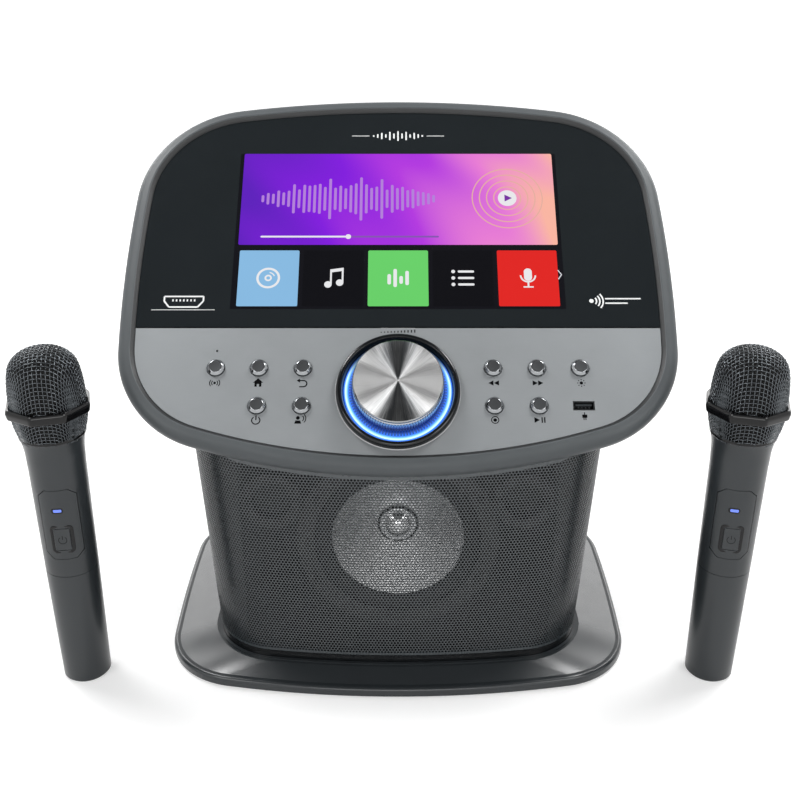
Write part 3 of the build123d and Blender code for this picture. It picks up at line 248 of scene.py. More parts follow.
def band(x, y, inner, outer, start=0.0, end=360.0, steps=32):
    """Part of a ring, as a strip of quads."""
    shape = []
    for i in range(steps):
        angles = [radians(start + (end - start) * k / steps) for k in (i, i + 1)]
        near = [(x + inner * cos(a), y + inner * sin(a)) for a in angles]
        far = [(x + outer * cos(a), y + outer * sin(a)) for a in angles]
        shape.append([near[0], far[0], far[1], near[1]])
    return shape


def pill(x, y, width, height, corner, steps=8):
    """A rectangle with round corners."""
    points = []
    for sx, sy, start in ((1, 1, 0), (-1, 1, 90), (-1, -1, 180), (1, -1, 270)):
        for i in range(steps + 1):
            angle = radians(start + 90 * i / steps)
            points.append((x + sx * (width / 2 - corner) + corner * cos(angle),
                           y + sy * (height / 2 - corner) + corner * sin(angle)))
    return [points]


def stroke(start, end, width):
    """A straight stroke."""
    start, end = Vector(start), Vector(end)
    aside = (end - start).normalized().orthogonal() * width / 2
    return [[tuple(start - aside), tuple(end - aside), tuple(end + aside), tuple(start + aside)]]


def arrow(x, y, size, direction=1):
    """A solid triangle that points along X."""
    return [[(x - direction * size / 2, y - size * 0.55), (x + direction * size / 2, y),
             (x - direction * size / 2, y + size * 0.55)]]


def moved(shape, dx, dy, scale=1.0):
    return [[(x * scale + dx, y * scale + dy) for x, y in face] for face in shape]


def draw(name, shape, place, finish, body="machine", thickness=0.04):
    """A thin printed shape that lies on a surface, with its own small thickness."""
    vertices, faces = [], []
    for outline in shape:
        first, count = len(vertices), len(outline)
        if sum(x0 * y1 - x1 * y0 for (x0, y0), (x1, y1) in zip(outline, outline[1:] + outline[:1])) <= 0:
            outline = outline[::-1]
        vertices += [(x, y, 0) for x, y in outline] + [(x, y, thickness) for x, y in outline]
        faces.append(tuple(range(first + count, first + 2 * count)))
        faces += bridge(first, first + count, count)
    make_piece(name, (vertices, faces), body, finish, place)


# ---- finishes
def add_node(tree, kind, inputs=None, **settings):
    """A shader node with its settings. Its inputs are constants, or sockets to link."""
    node = tree.nodes.new("ShaderNode" + kind)
    for key, value in settings.items():
        setattr(node, key, value)
    for key, value in (inputs or {}).items():
        if isinstance(value, bpy.types.NodeSocket):
            tree.links.new(value, node.inputs[key])
        else:
            node.inputs[key].default_value = value
    return node


class Finish:
    """A node material. Sockets that stay the same all over are set on the shader itself."""

    def __init__(self, name, colour, roughness, metallic=0.0, **constants):
        self.material = bpy.data.materials.new(name)
        self.material.use_nodes = True
        self.tree = self.material.node_tree
        self.shader = self.tree.nodes["Principled BSDF"]
        self.colour = colour
        constants.update(Base_Color=(*colour, 1.0), Roughness=roughness, Metallic=metallic)
        for socket, value in constants.items():
            self.shader.inputs[socket.replace("_", " ")].default_value = value
        self.place = self.add("TexCoord").outputs["Object"]

    def add(self, kind, inputs=None, **settings):
        return add_node(self.tree, kind, inputs, **settings)

    def link(self, socket, value):
        self.tree.links.new(value, self.shader.inputs[socket])

    def math(self, operation, *values):
        return self.add("Math", dict(enumerate(values)), operation=operation).outputs[0]

    def times(self, one, other):
        return self.math("MULTIPLY", one, other)

    def vector(self, operation, *values):
        return self.add("VectorMath", dict(enumerate(values)), operation=operation).outputs

    def away(self, place=None):
        """Distance from the middle of the piece's own frame, in metres."""
        return self.vector("LENGTH", place or self.place)["Value"]

    def axes(self):
        """The three coordinates of the piece's own frame."""
        return self.add("SeparateXYZ", {0: self.place}).outputs

    def turn(self, axes, times):
        """The angle round the local Z axis, some times over."""
        return self.times(self.math("ARCTAN2", axes["Y"], axes["X"]), times)

    def swing(self, angle):
        """A wave from 0 to 1 along an angle."""
        return self.math("MULTIPLY_ADD", self.math("COSINE", angle), 0.5, 0.5)

    def noise(self, feature, detail=3.0, place=None):
        """Noise whose features are about this many millimetres across."""
        return self.pattern(place or self.place, 1.0 / (feature * MM), detail)

    def pattern(self, place, scale, detail):
        return self.add("TexNoise", {"Vector": place, "Scale": scale, "Detail": detail}).outputs["Fac"]

    def spread(self, value, low, high, start=0.0, end=1.0, **settings):
        """The stretch of a value from start to end, laid out between two limits."""
        limits = {"Value": value, "From Min": start, "From Max": end, "To Min": low, "To Max": high}
        return self.add("MapRange", limits, **settings).outputs[0]

    def mix(self, amount, low, high):
        """A colour between two others, each a colour or a socket."""
        low, high = (end if isinstance(end, bpy.types.NodeSocket) else (*end, 1.0) for end in (low, high))
        return self.add("Mix", {0: amount, 6: low, 7: high}, data_type="RGBA").outputs[2]

    def ramp(self, value, stops):
        """Colours laid out along a value, as (position, colour) stops with the two ends first."""
        node = self.add("ValToRGB", {"Fac": value})
        elements = node.color_ramp.elements
        for index, (position, colour) in enumerate(stops):
            stop = elements[index] if index < 2 else elements.new(position)
            stop.position, stop.color = position, (*colour, 1.0)
        return node.outputs["Color"]

    def tint(self, amount, lighter):
        """Slow changes of colour between two strengths of the base colour."""
        low, high = ([min(c * (1 + step), 1.0) for c in self.colour] for step in (-lighter, lighter))
        self.link("Base Color", self.mix(amount, low, high))

    def wear(self, value, roughness, reach=0.05):
        """Roughness that wanders round a middle value."""
        self.link("Roughness", self.spread(value, roughness - reach, roughness + reach))

    def bump(self, height, depth):
        """Relief of this depth in millimetres."""
        node = self.add("Bump", {"Height": height, "Strength": 1.0, "Distance": depth * MM})
        self.link("Normal", node.outputs["Normal"])


def moulded(name, colour, roughness, grain=0.8, depth=0.010, gloss=0.5):
    """Moulded plastic or paint: fine spark-eroded grain, slow cloudiness, and handled patches."""
    finish = Finish(name, colour, roughness, Specular_IOR_Level=gloss)
    finish.tint(finish.noise(38.0, 4.0), 0.10)
    finish.wear(finish.noise(12.0), roughness)
    finish.bump(finish.noise(grain, 1.0), depth)
    return finish.material


def metal(name, colour, roughness, feature=1.2, depth=0.004):
    """Metal with a fine blasted or ground surface."""
    finish = Finish(name, colour, roughness, 1.0)
    finish.tint(finish.noise(16.0, 4.0), 0.06)
    finish.wear(finish.noise(feature, 4.0), roughness)
    finish.bump(finish.noise(feature / 3, 2.0), depth)
    return finish.material


PANEL_BLACK = (0.004, 0.004, 0.005)


def lit(name, colour, strength):
    """A backlit surface under glass, a little uneven like a real backlight."""
    finish = Finish(name, PANEL_BLACK, 0.12, Specular_IOR_Level=0.08, Emission_Strength=strength)
    glow = finish.spread(finish.noise(45.0, 2.0), 0.94, 1.0)
    finish.link("Emission Color", finish.mix(glow, (0, 0, 0), colour))
    finish.bump(finish.noise(6.0, 1.0), 0.0005)
    return finish.material


def banner():
    """The screen's wide picture: a violet to orange sweep with soft folds of light."""
    finish = Finish("screen_banner", PANEL_BLACK, 0.10, Specular_IOR_Level=0.08, Emission_Strength=1.0)
    half = SCREEN_WIDTH / 2 * MM
    across = finish.spread(finish.axes()["X"], 0.0, 1.0, -half, half)
    waves = {"Vector": finish.place, "Scale": 9.0, "Distortion": 5.0, "Detail": 1.0, "Detail Scale": 0.6}
    fold = finish.add("TexWave", waves, wave_type="BANDS", bands_direction="DIAGONAL").outputs["Fac"]
    shifted = finish.math("ADD", across, finish.times(finish.math("SUBTRACT", fold, 0.5), 0.10))
    finish.link("Emission Color", finish.ramp(shifted, (
        (0.0, (0.11, 0.012, 0.50)), (1.0, (0.95, 0.46, 0.36)), (0.28, (0.22, 0.010, 0.72)),
        (0.55, (0.45, 0.040, 0.74)), (0.80, (0.80, 0.20, 0.66)))))
    finish.bump(finish.noise(6.0, 1.0), 0.0005)
    return finish.material


RIB_SHADE = 0.75


def glowing_ring():
    """The light round the knob: pale in the middle of the ring, deep blue at its rim."""
    finish = Finish("ring_glow", (0.02, 0.06, 0.12), 0.3)
    away, axes = finish.away(), finish.axes()
    finish.link("Emission Color", finish.ramp(finish.spread(away, 0.0, 1.0, 27 * MM, 35.5 * MM), (
        (0.0, (0.0, 0.01, 0.10)), (1.0, (0.0, 0.02, 0.30)), (0.36, (0.004, 0.035, 0.35)),
        (0.56, (0.02, 0.16, 0.85)), (0.66, (0.22, 0.58, 1.0)), (0.76, (0.66, 0.94, 1.0)),
        (0.86, (0.02, 0.18, 1.0)))))
    # The light fades up the slope, and the shade of the knob's ribs is painted into it as dark lines inside
    # its brightest line.
    fade = finish.spread(axes["Y"], 1.4, 0.05, 6 * MM, 24 * MM, interpolation_type="SMOOTHSTEP")
    rib = finish.swing(finish.turn(axes, float(KNOB_RIBS)))
    ribbed = finish.math("LESS_THAN", away, 31.6 * MM)
    dark = finish.times(finish.times(rib, ribbed), RIB_SHADE)
    finish.link("Emission Strength", finish.times(fade, finish.math("SUBTRACT", 1.0, dark)))
    finish.bump(finish.noise(0.8, 2.0), 0.01)
    return finish.material


def brushed_disc_with_painted_fans():
    """Spun aluminium with fine streaks that run out from the middle; its highlight fans are painted into its
    colour as a painted reflection.
    """
    finish = Finish("brushed_disc_with_painted_fans", (0.52, 0.53, 0.54), 0.34, 1.0, Anisotropic=1.0)
    # Twice the angle, so that the streaks and the painted highlight fans meet in pairs across the middle.
    twice = finish.turn(finish.axes(), 2.0)
    rays = finish.add("CombineXYZ", {0: finish.math("COSINE", twice), 1: finish.math("SINE", twice),
                                     2: finish.times(finish.away(), 4.0)}).outputs[0]
    brush, broad = finish.pattern(rays, 26.0, 5.0), finish.pattern(rays, 2.6, 2.0)
    # Painted highlight: the colour is bright along local X and dark along local Y, standing in for fans of
    # reflected light, over the real streaks.
    streaks = finish.math("ADD", finish.times(brush, 0.30), finish.times(broad, 0.30))
    painted_fans_and_streaks = finish.math("ADD", finish.times(finish.swing(twice), 0.55), streaks)
    painted_fans_and_streaks = finish.spread(painted_fans_and_streaks, 0.0, 1.0, 0.30, 0.82)
    finish.link("Base Color", finish.mix(painted_fans_and_streaks, (0.10, 0.105, 0.11), (0.97, 0.97, 0.97)))
    finish.link("Roughness", finish.spread(brush, 0.28, 0.40))
    finish.link("Tangent", finish.add("Tangent", direction_type="RADIAL", axis="Z").outputs[0])
    finish.bump(brush, 0.004)
    return finish.material


def brushed_plate():
    """Satin metal with long faint strokes across it."""
    finish = Finish("plate_metal", (0.255, 0.269, 0.278), 0.56, 0.72)
    strokes = finish.vector("MULTIPLY", finish.place, (0.05, 1.0, 1.0))[0]
    brush, cloud = finish.noise(0.5, 3.0, strokes), finish.noise(30.0)
    finish.tint(finish.math("ADD", finish.times(brush, 0.5), finish.times(cloud, 0.5)), 0.14)
    finish.link("Roughness", finish.spread(brush, 0.50, 0.66))
    finish.bump(brush, 0.004)
    return finish.material


def cone_lacquer():
    """Silver lacquer on the paper cone, with a mirror-bright cap inside a dark seam."""
    finish = Finish("cone_lacquer", (0.92, 0.93, 0.94), 0.28)
    offset = finish.vector("ADD", finish.place, (0, 0, -WOOFER_HEIGHT * MM))[0]
    away = finish.away(finish.vector("MULTIPLY", offset, (1, 0, 1))[0])
    cap = finish.math("LESS_THAN", away, (CAP_RADIUS - 0.5) * MM)
    seam = finish.math("COMPARE", away, CAP_RADIUS * MM, 0.8 * MM)
    lacquer = finish.mix(finish.noise(12.0), (0.80, 0.81, 0.82), (0.95, 0.96, 0.97))
    finish.link("Base Color", finish.mix(seam, lacquer, (0.02, 0.02, 0.02)))
    finish.link("Metallic", finish.spread(cap, 0.5, 1.0))
    finish.link("Roughness", finish.spread(cap, 0.30, 0.10))
    finish.bump(finish.noise(2.0, 2.0), 0.008)
    return finish.material


def foam(name, colour):
    """Open foam or cloth behind a grille."""
    finish = Finish(name, colour, 0.9)
    cells = finish.add("TexVoronoi", {"Vector": finish.place, "Scale": 1 / (0.9 * MM)}).outputs["Distance"]
    finish.tint(cells, 0.5)
    finish.bump(cells, 0.25)
    return finish.material


BEZEL = moulded("bezel_plastic", (0.084, 0.092, 0.097), 0.42, gloss=0.22)
# The rim's inner wall is near-black: painted shade in the recess round the glass.
BEZEL_LIP_SHADE = moulded("bezel_lip_shade", (0.010, 0.011, 0.012), 0.45)
SHELL = moulded("shell_plastic", (0.022, 0.023, 0.025), 0.38)
BASE = moulded("base_plastic", (0.023, 0.027, 0.030), 0.24, grain=1.2, depth=0.004)
GLOSS = moulded("gloss_black", (0.005, 0.006, 0.007), 0.14, grain=2.5, depth=0.002, gloss=0.35)
GRILLE = moulded("grille_paint", (0.029, 0.037, 0.042), 0.28, grain=2.0, depth=0.002, gloss=0.8)
INSIDE = moulded("inside_plastic", (0.003, 0.003, 0.0035), 0.6, gloss=0.15)
RUBBER = moulded("rubber", (0.008, 0.008, 0.009), 0.7, grain=0.5, depth=0.03, gloss=0.3)
GLASS = moulded("screen_glass", (0.0115, 0.0145, 0.0165), 0.10, grain=12.0, depth=0.0004, gloss=0.35)
PLATE = brushed_plate()
CHROME = metal("key_chrome", (0.29, 0.30, 0.31), 0.15, feature=3.0, depth=0.001)
KEY_FACE = metal("key_face", (0.21, 0.22, 0.23), 0.30, feature=0.6)
PRINT = moulded("printed_symbol", (0.0015, 0.0015, 0.002), 0.6, gloss=0.05)
KNOB_SIDE = metal("knob_side", (0.42, 0.44, 0.48), 0.22, feature=0.5)
STEEL = metal("plated_steel", (0.55, 0.55, 0.56), 0.30)
DARK_STEEL = metal("dark_steel", (0.10, 0.105, 0.11), 0.30)
CONE = cone_lacquer()
BASKET = moulded("basket_paint", (0.006, 0.006, 0.007), 0.20)
BOARD = moulded("board_laminate", (0.02, 0.09, 0.05), 0.5, grain=1.5, depth=0.02)
MAGNET = moulded("magnet", (0.03, 0.03, 0.032), 0.6, grain=1.0, depth=0.03)
MIC_BODY = moulded("microphone_grip", (0.023, 0.027, 0.030), 0.30, grain=1.2, depth=0.003, gloss=0.45)
MIC_PLATE = moulded("microphone_plate", (0.021, 0.025, 0.028), 0.30, gloss=0.45)
MIC_WIRE = metal("microphone_wire", (0.075, 0.082, 0.088), 0.18, feature=4.0, depth=0.001)
MIC_RING = moulded("microphone_ring", (0.002, 0.002, 0.0025), 0.08, grain=2.5, depth=0.001, gloss=0.3)
MIC_FRAME = moulded("microphone_key_frame", (0.002, 0.002, 0.0025), 0.20, gloss=0.3)
MIC_FOAM = foam("microphone_foam", (0.004, 0.004, 0.004))
DOME_CLOTH = foam("dome_cloth", (0.02, 0.02, 0.02))
LED_LIT = lit("microphone_lamp", (0.20, 0.30, 1.0), 1.2)
GLASS_PRINT = moulded("glass_print", (0.75, 0.76, 0.76), 0.5)

CAD_FINISHES = (
    (BASE, "base_plate"),
    (SHELL, "base_bottom_cover cabinet_shell rear_panel bass_port head_back_shell"),
    (RUBBER, "base_feet woofer_surround"),
    (GLOSS, "grille_trim speaker_screws"),
    (INSIDE, "speaker_baffle lcd_module encoder_body"),
    (BASKET, "woofer_basket tweeter_frames"),
    (MAGNET, "woofer_magnet"),
    (CONE, "woofer_cone"),
    (DOME_CLOTH, "tweeter_domes"),
    (GLASS, "screen_lens"),
    (PLATE, "control_plate"),
    (BOARD, "main_board amplifier_board key_board"),
    (STEEL, "power_jack hdmi_socket audio_jacks tact_switches encoder_plunger case_screws"),
    (DARK_STEEL, "usb_socket"),
    (MIC_BODY, "mic_left_sleeve mic_left_handle mic_left_button"),
    (MIC_BODY, "mic_right_sleeve mic_right_handle mic_right_button"),
    (MIC_PLATE, "mic_left_switch_plate mic_right_switch_plate"),
    (MIC_FOAM, "mic_left_capsule mic_right_capsule"),
)
for finish, nodes in CAD_FINISHES:
    for node in nodes.split():
        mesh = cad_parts[node].data
        mesh.materials.clear()
        mesh.materials.append(finish)

# ---- head
rim = [(1.2, -BEZEL_DEPTH), (0.4, -7.7), (0.05, -7.0)]
for step in range(13):
    angle = pi / 2 * step / 12
    rim.append((7.6 * (1 - cos(angle) ** 0.9), -5.2 + (RIM_HEIGHT + 4.9) * sin(angle) ** 0.9))
rim += rounded((8.8, RIM_HEIGHT), (7.6, RIM_HEIGHT - 0.2), (10.6, 1.2), 0.7)
# From the crest inwards the rim takes the near-black finish, painted shade on its inner wall.
lip_shade_start = len(rim) - 1
rim += [(10.8, 0.9), (11.3, 0.2), (RIM_WIDTH + 0.25, -0.5)]
form = sweep_outline(HEAD_FORM, rim)
make_piece("bezel_rim", form, "machine", [BEZEL, BEZEL_LIP_SHADE], panel_frame(),
           two_tone(rim, lip_shade_start, len(form[0]) // len(rim)), replaces="head_bezel")

# ---- grille
PITCH = 2.15
ROW_RISE = PITCH * sqrt(3) / 2
CELL_REACH = PITCH / sqrt(3)
HOLE_SHARE = 0.73
HOLE_DEPTH = 0.6
SHEET_LENGTH = 261.0
FIRST_ROW = GRILLE_LOW + 2.4
GRILLE_ROWS = 150
LAST_COLUMN = 119
levels = {}


def column_point(along, z, depth=0.0):
    """A point of the grille: along runs from the middle of the front, depth goes inwards."""
    if z not in levels:
        half = COLUMN_HALF + (z - COLUMN_FOOT) * COLUMN_TAPER
        bow_y = COLUMN_FRONT + (z - COLUMN_FOOT) * COLUMN_LEAN + COLUMN_BOW
        reach = COLUMN_BOW - COLUMN_CORNER
        corner_x = half - COLUMN_CORNER
        corner_y = bow_y - sqrt(reach**2 - corner_x**2)
        swing = asin(corner_x / reach)
        length = COLUMN_BOW * swing + COLUMN_CORNER * (pi / 2 - swing) + GRILLE_REAR - corner_y
        levels[z] = half, bow_y, corner_x, corner_y, swing, length / SHEET_LENGTH
    half, bow_y, corner_x, corner_y, swing, stretch = levels[z]
    side = -1 if along < 0 else 1
    along = abs(along) * stretch
    if along < COLUMN_BOW * swing:
        angle = along / COLUMN_BOW
        return side * (COLUMN_BOW - depth) * sin(angle), bow_y - (COLUMN_BOW - depth) * cos(angle), z
    along -= COLUMN_BOW * swing
    angle = swing + along / COLUMN_CORNER
    if angle < pi / 2:
        return (side * (corner_x + (COLUMN_CORNER - depth) * sin(angle)),
                corner_y - (COLUMN_CORNER - depth) * cos(angle), z)
    return side * (half - depth), corner_y + along - COLUMN_CORNER * (pi / 2 - swing), z


def under_head(point):
    """How far a point lies below the head's parting face."""
    return -(Vector(point) - PANEL_CENTRE).dot(PANEL_NORMAL) - BEZEL_DEPTH - GAP


def level_height(level):
    """Height of a row of corners of the six-sided cells; every row of cells has two."""
    row, upper = divmod(level, 2)
    return FIRST_ROW + row * ROW_RISE + (CELL_REACH if upper else CELL_REACH / 2)


def perforated(first_column, last_column):
    """Points and faces of a stretch of the sheet with six-sided holes."""
    vertices, faces, shared = [], [], {}
    around = ((0, -2), (1, -1), (1, 0), (0, 1), (-1, 0), (-1, -1))
    for row in range(GRILLE_ROWS):
        centre_z = FIRST_ROW + row * ROW_RISE
        for column in range(first_column, last_column):
            across = 2 * column + row % 2
            centre_along = across * PITCH / 2
            if under_head(column_point(centre_along, centre_z)) < GRILLE_EDGE:
                continue
            outer, hole = [], []
            for side_step, level_step in around:
                key = (across + side_step, 2 * row + level_step)
                along, z = key[0] * PITCH / 2, level_height(key[1])
                if key not in shared:
                    shared[key] = len(vertices)
                    vertices.append(column_point(along, z))
                outer.append(shared[key])
                hole.append((centre_along + (along - centre_along) * HOLE_SHARE,
                             centre_z + (z - centre_z) * HOLE_SHARE))
            first = len(vertices)
            vertices += [column_point(*corner, depth) for depth in (0.0, HOLE_DEPTH) for corner in hole]
            for i in range(6):
                j = (i + 1) % 6
                faces.append((outer[i], outer[j], first + j, first + i))
                faces.append((first + i, first + j, first + 6 + j, first + 6 + i))
    return vertices, faces


quarters = [-LAST_COLUMN, -60, 0, 60, LAST_COLUMN]
for number, (first_column, last_column) in enumerate(zip(quarters, quarters[1:]), 1):
    form = perforated(first_column, last_column)
    # Every second face is the wall of a hole, which gets the near-black rubber finish: painted shade inside
    # the holes.
    make_piece(f"grille_sheet_{number}", form, "machine", [GRILLE, RUBBER],
               face_finish=[0, 1] * (len(form[1]) // 2), replaces="front_grille")


def sheet_top(along):
    """Height at which the grille meets the head's parting face."""
    z = 200.0
    for _ in range(8):
        z += under_head(column_point(along, z)) / PANEL_NORMAL.z
    return z


def add_band(vertices, faces, rows):
    """A plain margin of the sheet: rows of (along, height) pairs, with the sheet's thickness."""
    first, count = len(vertices), len(rows)
    for depth in (-0.04, GRILLE_THICKNESS):
        for low, high in rows:
            vertices += [column_point(*low, depth), column_point(*high, depth)]
    for i in range(count - 1):
        a, b = first + 2 * i, first + 2 * i + 2
        c, d = a + 2 * count, b + 2 * count
        faces += [(a, b, b + 1, a + 1), (c, c + 1, d + 1, d), (a, c, d, b), (a + 1, b + 1, d + 1, c + 1)]


points, faces = [], []
runs = [SHEET_LENGTH * i / 130 for i in range(-130, 131)]
add_band(points, faces, [((s, GRILLE_LOW), (s, FIRST_ROW - CELL_REACH / 2)) for s in runs])
add_band(points, faces, [((s, sheet_top(s) - GRILLE_BORDER), (s, sheet_top(s))) for s in runs])
edge_in = (LAST_COLUMN - 0.5) * PITCH
for side in (-1, 1):
    ends = [(along, sheet_top(along) - GRILLE_LOW) for along in (side * edge_in, side * SHEET_LENGTH)]
    rows = [[(along, GRILLE_LOW + rise * i / 60) for along, rise in ends] for i in range(61)]
    add_band(points, faces, rows)
make_piece("grille_margin", (points, faces), "machine", GRILLE)

# ---- screen
# The picture is flat shapes of light in thin layers, a hair above the lens's own face.
def on_screen(name, shape, layer, glow, colour=None, strength=0.9):
    """A shape of the picture. glow is a finish, or the name for one of this colour and strength."""
    finish = lit(f"glow_{glow}", colour, strength) if colour else glow
    lift = SCREEN_LIFT + SCREEN_LAYER * layer
    draw(name, shape, panel_frame(0, SCREEN_CENTRE, lift), finish)


BAR_COUNT = 34
TILE_WIDTH, TILE_PITCH, TILE_START = 40.5, 43.6, 4.0
half_w, half_h = SCREEN_WIDTH / 2, SCREEN_HEIGHT / 2
strip_top, strip_low, strip_gap = -17.5, 2.0 - half_h, 4.5
picture_h = half_h - strip_top - strip_gap
picture = pill(0, strip_top + strip_gap + picture_h / 2, SCREEN_WIDTH - 5, picture_h, 1.2)
on_screen("screen_backlight", box(-half_w, -half_h, half_w, half_h), 0, "black", (0.004, 0.004, 0.006))
on_screen("screen_picture", picture, 1, banner())
bars = []
for i in range(BAR_COUNT):
    height = 5 + 34 * sin(pi * (i + 0.5) / BAR_COUNT) * (0.35 + 0.65 * random.random())
    bars += pill(-94 + i * 3.6, 24.5, 1.9, height, 0.94, 4)
on_screen("screen_sound_bars", bars, 2, "lilac", (0.62, 0.30, 0.95), 0.75)
rings = [quad for radius in (9, 14, 19, 24) for quad in band(76, 25, radius, radius + 0.8, steps=40)]
on_screen("screen_rings", rings, 2, "peach", (1.0, 0.55, 0.45), 0.8)
on_screen("screen_play_disc", pill(76, 25, 13, 13, 6.4), 3, "white", (0.92, 0.92, 0.95))
on_screen("screen_play_mark", arrow(76.7, 25, 5.2), 4, "plum", (0.20, 0.03, 0.40))
on_screen("screen_track", pill(-33, -6.5, 122, 1.4, 0.69), 2, "dusk", (0.30, 0.12, 0.55), 0.8)
progress = pill(-64, -6.5, 60, 1.4, 0.69) + disc(-34, -6.5, 1.9)
on_screen("screen_progress", progress, 3, "pale", (0.95, 0.90, 1.0))

TILES = (
    ("disc", "sky", (0.28, 0.56, 0.86),
     band(0, 0, 6.4, 8.0) + band(0, 0, 1.3, 2.5, steps=20) + band(0, 0, 3.9, 4.7, 20, 80, 10)),
    ("note", "night", (0.002, 0.002, 0.003),
     disc(-3.4, -5.0, 2.5) + disc(4.4, -3.6, 2.5) + box(-2.1, -5, -0.9, 6) + box(5.7, -3.6, 6.9, 7.4)
     + [[(-2.1, 4.2), (6.9, 5.6), (6.9, 8.0), (-2.1, 6.6)]]),
    ("bars", "leaf", (0.16, 0.72, 0.16),
     pill(-6, -1, 2.4, 8, 1.1, 4) + pill(-2, 0, 2.4, 14, 1.1, 4) + pill(2, -1.5, 2.4, 6, 1.1, 4)
     + pill(6, 0, 2.4, 11, 1.1, 4)),
    ("list", "coal", (0.002, 0.002, 0.003),
     [face for y in (5, 0, -5) for face in pill(2, y, 11, 1.7, 0.8, 4)]
     + [face for y in (5, 0, -5) for face in disc(-6.6, y, 1.3)]),
    ("voice", "poppy", (0.86, 0.02, 0.015),
     pill(0, 2.6, 5.4, 9.6, 2.6) + band(0, 2.0, 4.4, 5.5, 180, 360, 16) + box(-0.6, -6.4, 0.6, -3.4)
     + box(-3.4, -7.4, 3.4, -6.4)),
)
for number, (sign, glow, colour, shape) in enumerate(TILES):
    x = -half_w + TILE_START + TILE_WIDTH / 2 + number * TILE_PITCH
    y = (strip_top + strip_low) / 2
    on_screen(f"screen_tile_{glow}", pill(x, y, TILE_WIDTH, strip_top - strip_low, 1.0), 1, glow, colour)
    on_screen(f"screen_sign_{sign}", moved(shape, x, y), 2, f"sign_{sign}", (0.93, 0.93, 0.95))
more = stroke((107.6, -33), (109.9, -36.5), 0.7) + stroke((107.6, -40), (109.9, -36.5), 0.7)
on_screen("screen_more", more, 2, "more", (0.8, 0.8, 0.85))

# ---- controls
KEYS = {
    "pairing": (-KEY_OUTER, KEY_UPPER), "home": (-KEY_MIDDLE, KEY_UPPER), "back": (-KEY_INNER, KEY_UPPER),
    "power": (-KEY_MIDDLE, KEY_LOWER), "voice": (-KEY_INNER, KEY_LOWER), "rewind": (KEY_INNER, KEY_UPPER),
    "forward": (KEY_MIDDLE, KEY_UPPER), "light": (KEY_OUTER, KEY_UPPER), "record": (KEY_INNER, KEY_LOWER),
    "play": (KEY_MIDDLE, KEY_LOWER),
}
key_profile = [(KEY_RADIUS + 1.1, -2.6), (KEY_RADIUS + 1.1, -2.1), (KEY_RADIUS, -2.1)]
key_profile += rounded((KEY_RADIUS, 1.2), (KEY_RADIUS, -2.1), (4.2, 2.8), 0.35)
key_profile += rounded((4.15, KEY_PROUD - 0.05), (KEY_RADIUS, 1.2), (0, KEY_PROUD - 0.05), 0.30)
face_start = len(key_profile) - 1
key_profile += [(3.0, KEY_PROUD - 0.08), (1.5, KEY_PROUD - 0.13), (0, KEY_PROUD - 0.15)]
form, shades = lathe(key_profile, 64), two_tone(key_profile, face_start, 64)
for key, (u, v) in KEYS.items():
    make_piece(f"key_{key}", form, f"{key}_key", [CHROME, KEY_FACE], panel_frame(u, v), shades,
               replaces=f"button_{key}")

sun = disc(0, 0, 0.95, 20)
for ray in (Vector((cos(pi * i / 4), sin(pi * i / 4))) for i in range(8)):
    sun += stroke(ray * 1.6, ray * 2.3, 0.45)
SYMBOLS = {
    "pairing": disc(0, 0, 0.75, 16) + [
        face for near, reach in ((1.4, 50), (2.5, 42)) for middle in (0, 180)
        for face in band(0, 0, near, near + 0.5, middle - reach, middle + reach, 10)],
    "home": [[(-2.8, 0.2), (2.8, 0.2), (0, 2.8)]] + box(-1.9, -2.2, -0.6, 0.2) + box(0.6, -2.2, 1.9, 0.2)
            + box(-0.6, -0.6, 0.6, 0.2),
    "back": band(0.6, -0.4, 1.5, 2.2, -90, 90, 14) + box(-1.6, 1.1, 0.6, 1.8) + box(-1.6, -2.6, 0.6, -1.9)
            + [[(-3.1, 1.45), (-1.3, 0.2), (-1.3, 2.7)]],
    "power": band(0, -0.2, 1.9, 2.5, 125, 415, 28) + box(-0.32, -0.1, 0.32, 2.7),
    "voice": disc(-1.6, 1.2, 1.05, 18) + [[(-3.5, -2.1), (0.3, -2.1), (-0.3, -0.3), (-2.9, -0.3)]]
             + band(-0.6, 0.9, 1.8, 2.3, -45, 45, 8) + band(-0.6, 0.9, 3.0, 3.5, -45, 45, 10),
    "rewind": arrow(-1.5, 0, 2.8, -1) + arrow(1.5, 0, 2.8, -1),
    "forward": arrow(-1.5, 0, 2.8) + arrow(1.5, 0, 2.8),
    "light": sun,
    "record": band(0, 0, 1.7, 2.2, steps=28) + disc(0, 0, 1.0, 20),
    "play": arrow(-1.6, 0, 2.9) + box(0.7, -1.6, 1.4, 1.6) + box(2.1, -1.6, 2.8, 1.6),
}
SYMBOL_SCALE = 1.18
SYMBOL_FALL = {KEY_UPPER: 10.6, KEY_LOWER: 9.8}


def printed(name, shape, u, v, finish=PRINT):
    """A shape printed on the head, in the place u across and v up the slope."""
    draw(name, shape, panel_frame(u, v), finish)


for key, (u, v) in KEYS.items():
    printed(f"symbol_{key}", moved(SYMBOLS[key], 0, 0, SYMBOL_SCALE), u, v - SYMBOL_FALL[v])
plug = box(-1.6, -1.1, 1.6, 1.1) + box(-0.9, -2.6, -0.3, -1.1) + box(0.3, -2.6, 0.9, -1.1)
plug += box(-0.3, 1.1, 0.3, 2.6)
printed("symbol_plug", plug, USB_X, KEY_LOWER - 7.2)
steps = [box(-11.4 + 2.2 * i, -1.1, -10.6 + 2.2 * i, -0.5 + 0.16 * i)[0] for i in range(11)]
printed("symbol_volume", steps, 0, -77.2)

